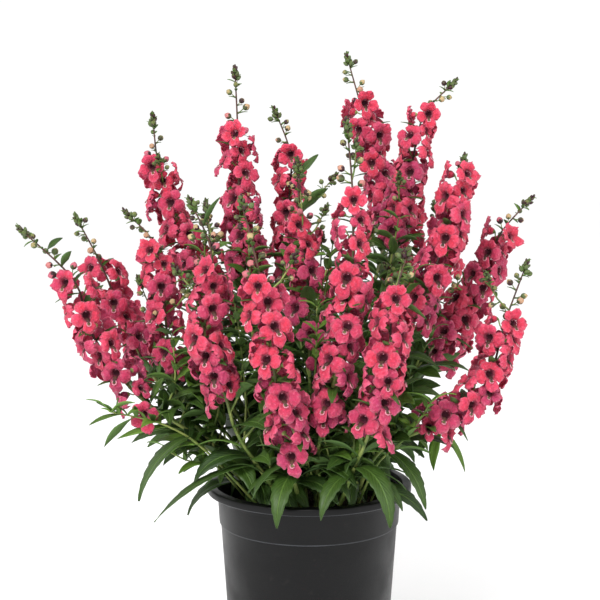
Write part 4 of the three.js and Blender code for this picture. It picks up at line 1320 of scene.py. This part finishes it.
def is_free(spot):
    """Whether a leaf can reach a spot clear of the flowers and the pot and not hide the label"""
    over_rim = spot.z < POT_HEIGHT + SOIL_ROOM and math.hypot(spot.x, spot.y) > INSIDE_RADIUS - RIM_ROOM
    if over_rim or spot.z < SOIL_LEVEL + SOIL_ROOM:
        return False
    before = LABEL_MIDDLE.y - spot.y
    sight = spot.z - LABEL_SIGHT * before - LABEL_MIDDLE.z
    if abs(spot.x - LABEL_MIDDLE.x) < LABEL_ROOM[0] and abs(sight) < LABEL_ROOM[1] and before > 0:
        return False
    return all((spot - other).length > FLOWER_ROOM for other in flower_middles)


def inner_leaf(shape, line, depth, angle, low, seed, size, freshness):
    """A smaller leaf where it stays clear of the flowers, turned aside if need be"""
    root = line.grown(depth)
    for turn in INNER_TURNS:
        form = Leaf(
            angle=angle + turn,
            rise=mix(*INNER_RISE, low) + pick((-12, 12), seed, 2),
            bend=mix(*INNER_BEND, low) * pick((0.7, 1.3), seed, 3),
            length=size * mix(*INNER_LENGTH, low) * pick((0.75, 1.15), seed, 4),
            roll=pick(INNER_ROLL, seed, 5),
            ratio=pick(INNER_RATIO, seed, 6),
        )
        arc = leaf_arc(root, form)
        if all(is_free(arc(f)[0]) for f in (0.5, 0.75, 1)):
            leaf(shape, root, root, form, freshness * draw(seed, 7), draw(seed, 8))
            return


def inner_pair(shape, line, depth, angle, low, seeds, size=1, freshness=0.2):
    """Two smaller leaves on opposite sides of a stem"""
    for half, seed in zip((0, 180), seeds):
        inner_leaf(shape, line, depth, angle + half, low, seed, size, freshness)


def leaf_reaching(shape, line, depth, tip, ratio, seed, freshness=0.4):
    """A leaf from a stem to a tip"""
    root = line.grown(depth)
    way = Vector(tip) - root
    bend = pick((10, 45), seed, 1)
    form = Leaf(
        angle=math.degrees(math.atan2(way.y, way.x)),
        rise=math.degrees(math.asin(way.z / way.length)) + bend / 2,
        bend=bend,
        length=way.length * 1.03,
        roll=pick((35, 70), seed, 2) * (-1) ** seed,
        ratio=ratio,
    )
    leaf(shape, root, root, form, freshness * draw(seed, 3), draw(seed, 4))


def grow_leaves(shape, spike, k, line, corners):
    """The leaves of the CAD below the flowers, and smaller ones in crossed pairs"""
    below = spike.bloom[1] + BELOW_BLOOM
    lowest = line.length - ABOVE_SOIL
    for i in range(spike.leaves):
        low = (i + 0.5) / spike.leaves
        side = (-1) ** i
        seed = SEEDS_PER_SPIKE * k + i
        form = Leaf(
            angle=spike.facing + side * pick(LEAF_SPREAD, seed, 3),
            rise=mix(*LEAF_RISE, low),
            bend=mix(*LEAF_BEND, low) * pick((0.85, 1.15), seed, 4),
            length=mix(*LEAF_LENGTH, low) * pick((0.9, 1.08), seed, 5),
            roll=side * pick(LEAF_ROLL, seed, 6),
            ratio=LEAF_RATIO,
        )
        depth = mix(below, lowest, low)
        leaf_as_in_cad(shape, corners, line, depth, form, 0.1 * draw(seed, 7), draw(seed, 8))
    for i in range(int((lowest - below) / PAIR_STEP) + 1):
        depth = below + PAIR_STEP * i
        low = (depth - below) / (lowest - below)
        seed = 400 + SEEDS_PER_SPIKE * k + 2 * i
        inner_pair(shape, line, depth, 90 * (i % 2) + 37 * k, low, (seed, seed + 1))


def grow_twigs(shape, spike, k, line):
    """Leafy side shoots that rise between the spikes"""
    below = spike.bloom[1] + BELOW_BLOOM
    for i in range(TWIGS):
        seed = 700 + SEEDS_PER_SPIKE * k + i
        depth = mix(below, line.length - 25, (i + draw(seed, 1)) / TWIGS)
        out = line.outward(depth, spike.facing + 360 * (i + draw(seed, 2)) / TWIGS)
        tip = line.grown(depth) + out * pick(TWIG_REACH, seed, 3) + UP * pick(TWIG_RISE, seed, 4)
        if not is_free(tip):
            continue
        twig = SideLine(line, depth, tip)
        stalk(shape, twig.stops(0.5, 6), lambda f: mix(*TWIG_RADIUS, f), 5, finish=STALK, age=0.5)
        for j in range(int(twig.length / TWIG_STEP)):
            near = 0.5 + TWIG_STEP * j
            size = mix(0.35, 0.75, min(near / 30, 1))
            seeds = (seed + 7 * j, seed + 7 * j + 180)
            inner_pair(shape, twig, near, 90 * (j % 2) + 53 * i, 0.2, seeds, size, 0.6)


def grow_bloom_leaves(shape, spike, k, line):
    """Leafy bracts among the flowers, smaller towards the tip"""
    for i in range(spike.flowers):
        f = (i + 0.2) / spike.flowers
        seed = 900 + SEEDS_PER_SPIKE * k + i
        depth = mix(*spike.bloom, f)
        way = line.skyward(depth, GOLDEN_ANGLE * i + 60, pick((0.2, 0.9), seed, 1))
        length = mix(*BLOOM_LEAF, f) * pick((0.8, 1.2), seed, 2)
        root = line.grown(depth)
        if is_free(root + way * length):
            bract(shape, root, way, length, LEAF_RATIO * length, age=0.15, chance=draw(seed, 3))


for k, spike in enumerate(SPIKES):
    name = spike.name
    line = stem_lines[name]
    corners = cad_corners(f"stem_{name}")
    shape = sprout()
    grow_leaves(shape, spike, k, line, corners)
    grow_twigs(shape, spike, k, line)
    grow_bloom_leaves(shape, spike, k, line)
    for i, up, form in rows_of(name, RIM_LEAVES):
        leaf_as_in_cad(shape, corners, line, line.length - up, form, 0.1, draw(i, 20))
    for i, depth, tip, ratio in rows_of(name, UPPER_LEAVES):
        leaf_reaching(shape, line, depth, tip, ratio, i)
    leaves = made_of(f"leaves_{name}", shape, stem_skin, bud_skin, leaf_skin)
    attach(leaves, "root")
    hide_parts(f"stem_{name}")

# Leafy shoots without flowers: soft young side growth with crossed pairs of smaller, fresher
# green leaves up to the tip.

# pairs: the pairs of leaves that the CAD has; leaf: their length
Shoot = namedtuple("Shoot", "name pairs leaf foot path")
SHOOTS = [
    Shoot("left", 3, 34, (-32, -26), [(-72, -50, 179), (-100, -64, 201), (-136, -73, 212)]),
    Shoot("right", 3, 32, (31, -36), [(46, -56, 170), (66, -70, 194), (82, -80, 221)]),
    Shoot("middle", 3, 24, (-3, -22), [(0, -38, 190), (4, -52, 240), (5, -56, 283)]),
    Shoot("low_left", 2, 34, (-40, -14), [(-66, -40, 166), (-84, -50, 172), (-98, -54, 180)]),
    Shoot("low_right", 2, 36, (44, -8), [(62, -10, 170), (84, -8, 182), (104, -6, 190)]),
]
LOWEST_PAIR = 0.7
PAIR_RISE = (50, 25)
PAIR_BEND = (50, 70)
PAIR_SIZE = (0.6, 1.25)
PAIR_ROLL = (-30, 30)
PAIR_TURN = (-20, 20)
PAIR_FRESHNESS = (0.8, 0.3)
TIP_PAIRS = 6
TIP_PAIR_STEP = 6
TIP_LEAF_SIZE = (0.2, 0.6)

# Leaves at the tips and over the rim, with the same columns as those of the stems
SHOOT_TIP_LEAVES = [
    ("left", 6, (-144, -72, 218), 0.34),
    ("left", 9, (-150, -71, 202), 0.16),
    ("left", 18, (-140, -69, 187), 0.22),
    ("left", 42, (-132, -63, 191), 0.14),
    ("left", 6, (-130, -72, 221), 0.32),
    ("low_right", 6, (92, -7, 155), 0.24),
    ("low_right", 9, (115, -7, 154), 0.14),
    ("low_right", 16, (81, -7, 166), 0.34),
]
SHOOT_RIM_LEAVES = [("left", 88, Leaf(222, -12, 62, 58, 10, 0.27))]

for k, shoot in enumerate(SHOOTS):
    name = shoot.name
    corners = cad_corners(f"shoot_{name}")
    line = StemLine(shoot.foot, shoot.path)
    shape = sprout()
    grow_stem(shape, line, 0, age=0.6)
    for i in range(shoot.pairs):
        f = i / shoot.pairs
        seed = SEEDS_PER_SPIKE * k + i
        for half in (0, 180):
            form = Leaf(
                angle=90 * (i % 2) + half + pick(PAIR_TURN, seed, half),
                rise=mix(*PAIR_RISE, f),
                bend=pick(PAIR_BEND, seed, half + 1),
                length=shoot.leaf * mix(*PAIR_SIZE, f),
                roll=pick(PAIR_ROLL, seed, half + 2),
                ratio=LEAF_RATIO,
            )
            depth = mix(2, LOWEST_PAIR * line.length, f)
            leaf_as_in_cad(shape, corners, line, depth, form, mix(*PAIR_FRESHNESS, f), draw(seed, 9))
    for i in range(TIP_PAIRS):
        size = mix(*TIP_LEAF_SIZE, i / TIP_PAIRS)
        seeds = (60 * k + i, 60 * k + i + 180)
        inner_pair(shape, line, 1 + TIP_PAIR_STEP * i, 90 * (i % 2) + 30 * k, 0.1, seeds, size, 1.2)
    for i, depth, tip, ratio in rows_of(name, SHOOT_TIP_LEAVES):
        leaf_reaching(shape, line, depth, tip, ratio, i, 0.7)
    for i, up, form in rows_of(name, SHOOT_RIM_LEAVES):
        leaf_as_in_cad(shape, corners, line, line.length - up, form, 0.1, 0.5)
    leafy = made_of(f"leafy_shoot_{name}", shape, stem_skin, bud_skin, leaf_skin)
    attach(leafy, "root")
    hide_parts(f"shoot_{name}")

# Setting: the plant stands on a plain white floor in soft white light from all round, with a
# large soft lamp in front and above. The camera is a little above the middle of the plant.

LENS = 69
CAMERA_PLACE = (-0.0067, -0.8397, 0.3629)
CAMERA_PITCH = 84.4
WORLD_LIGHT = 1.03
LAMP_AIM = Vector((0, 0, 0.25))

white_floor = Finish("white_floor", {"Roughness": 0.9, "Specular IOR Level": 0.1})
white_floor.show(colour=white_floor.grain(3).blend(0xFCFCFC, 0xFFFFFF))
slab = bmesh.new()
bmesh.ops.create_grid(slab, x_segments=1, y_segments=1, size=30000)
floor = made_of("floor", slab, white_floor)

scene = bpy.context.scene
scene.view_settings.view_transform = "Standard"
world = bpy.data.worlds.new("white_studio")
world.use_nodes = True
world.node_tree.nodes["Background"].inputs["Color"].default_value = (1, 1, 1, 1)
world.node_tree.nodes["Background"].inputs["Strength"].default_value = WORLD_LIGHT
scene.world = world


def soft_lamp(name, place, size, power):
    light = bpy.data.lights.new(name, "AREA")
    light.shape = "DISK"
    light.size = size
    light.energy = power
    lamp = bpy.data.objects.new(name, light)
    lamp.location = place
    lamp.rotation_euler = (LAMP_AIM - Vector(place)).to_track_quat("-Z", "Y").to_euler()
    scene.collection.objects.link(lamp)


soft_lamp("key_lamp", (-0.7, -1.4, 1.5), 0.7, 34)
soft_lamp("fill_lamp", (1.2, -1.0, 0.9), 0.9, 6)

lens = bpy.data.cameras.new("camera")
lens.lens = LENS
lens.sensor_width = 36
camera = bpy.data.objects.new("camera", lens)
camera.location = CAMERA_PLACE
camera.rotation_euler = (math.radians(CAMERA_PITCH), 0, 0)
scene.collection.objects.link(camera)
scene.camera = camera
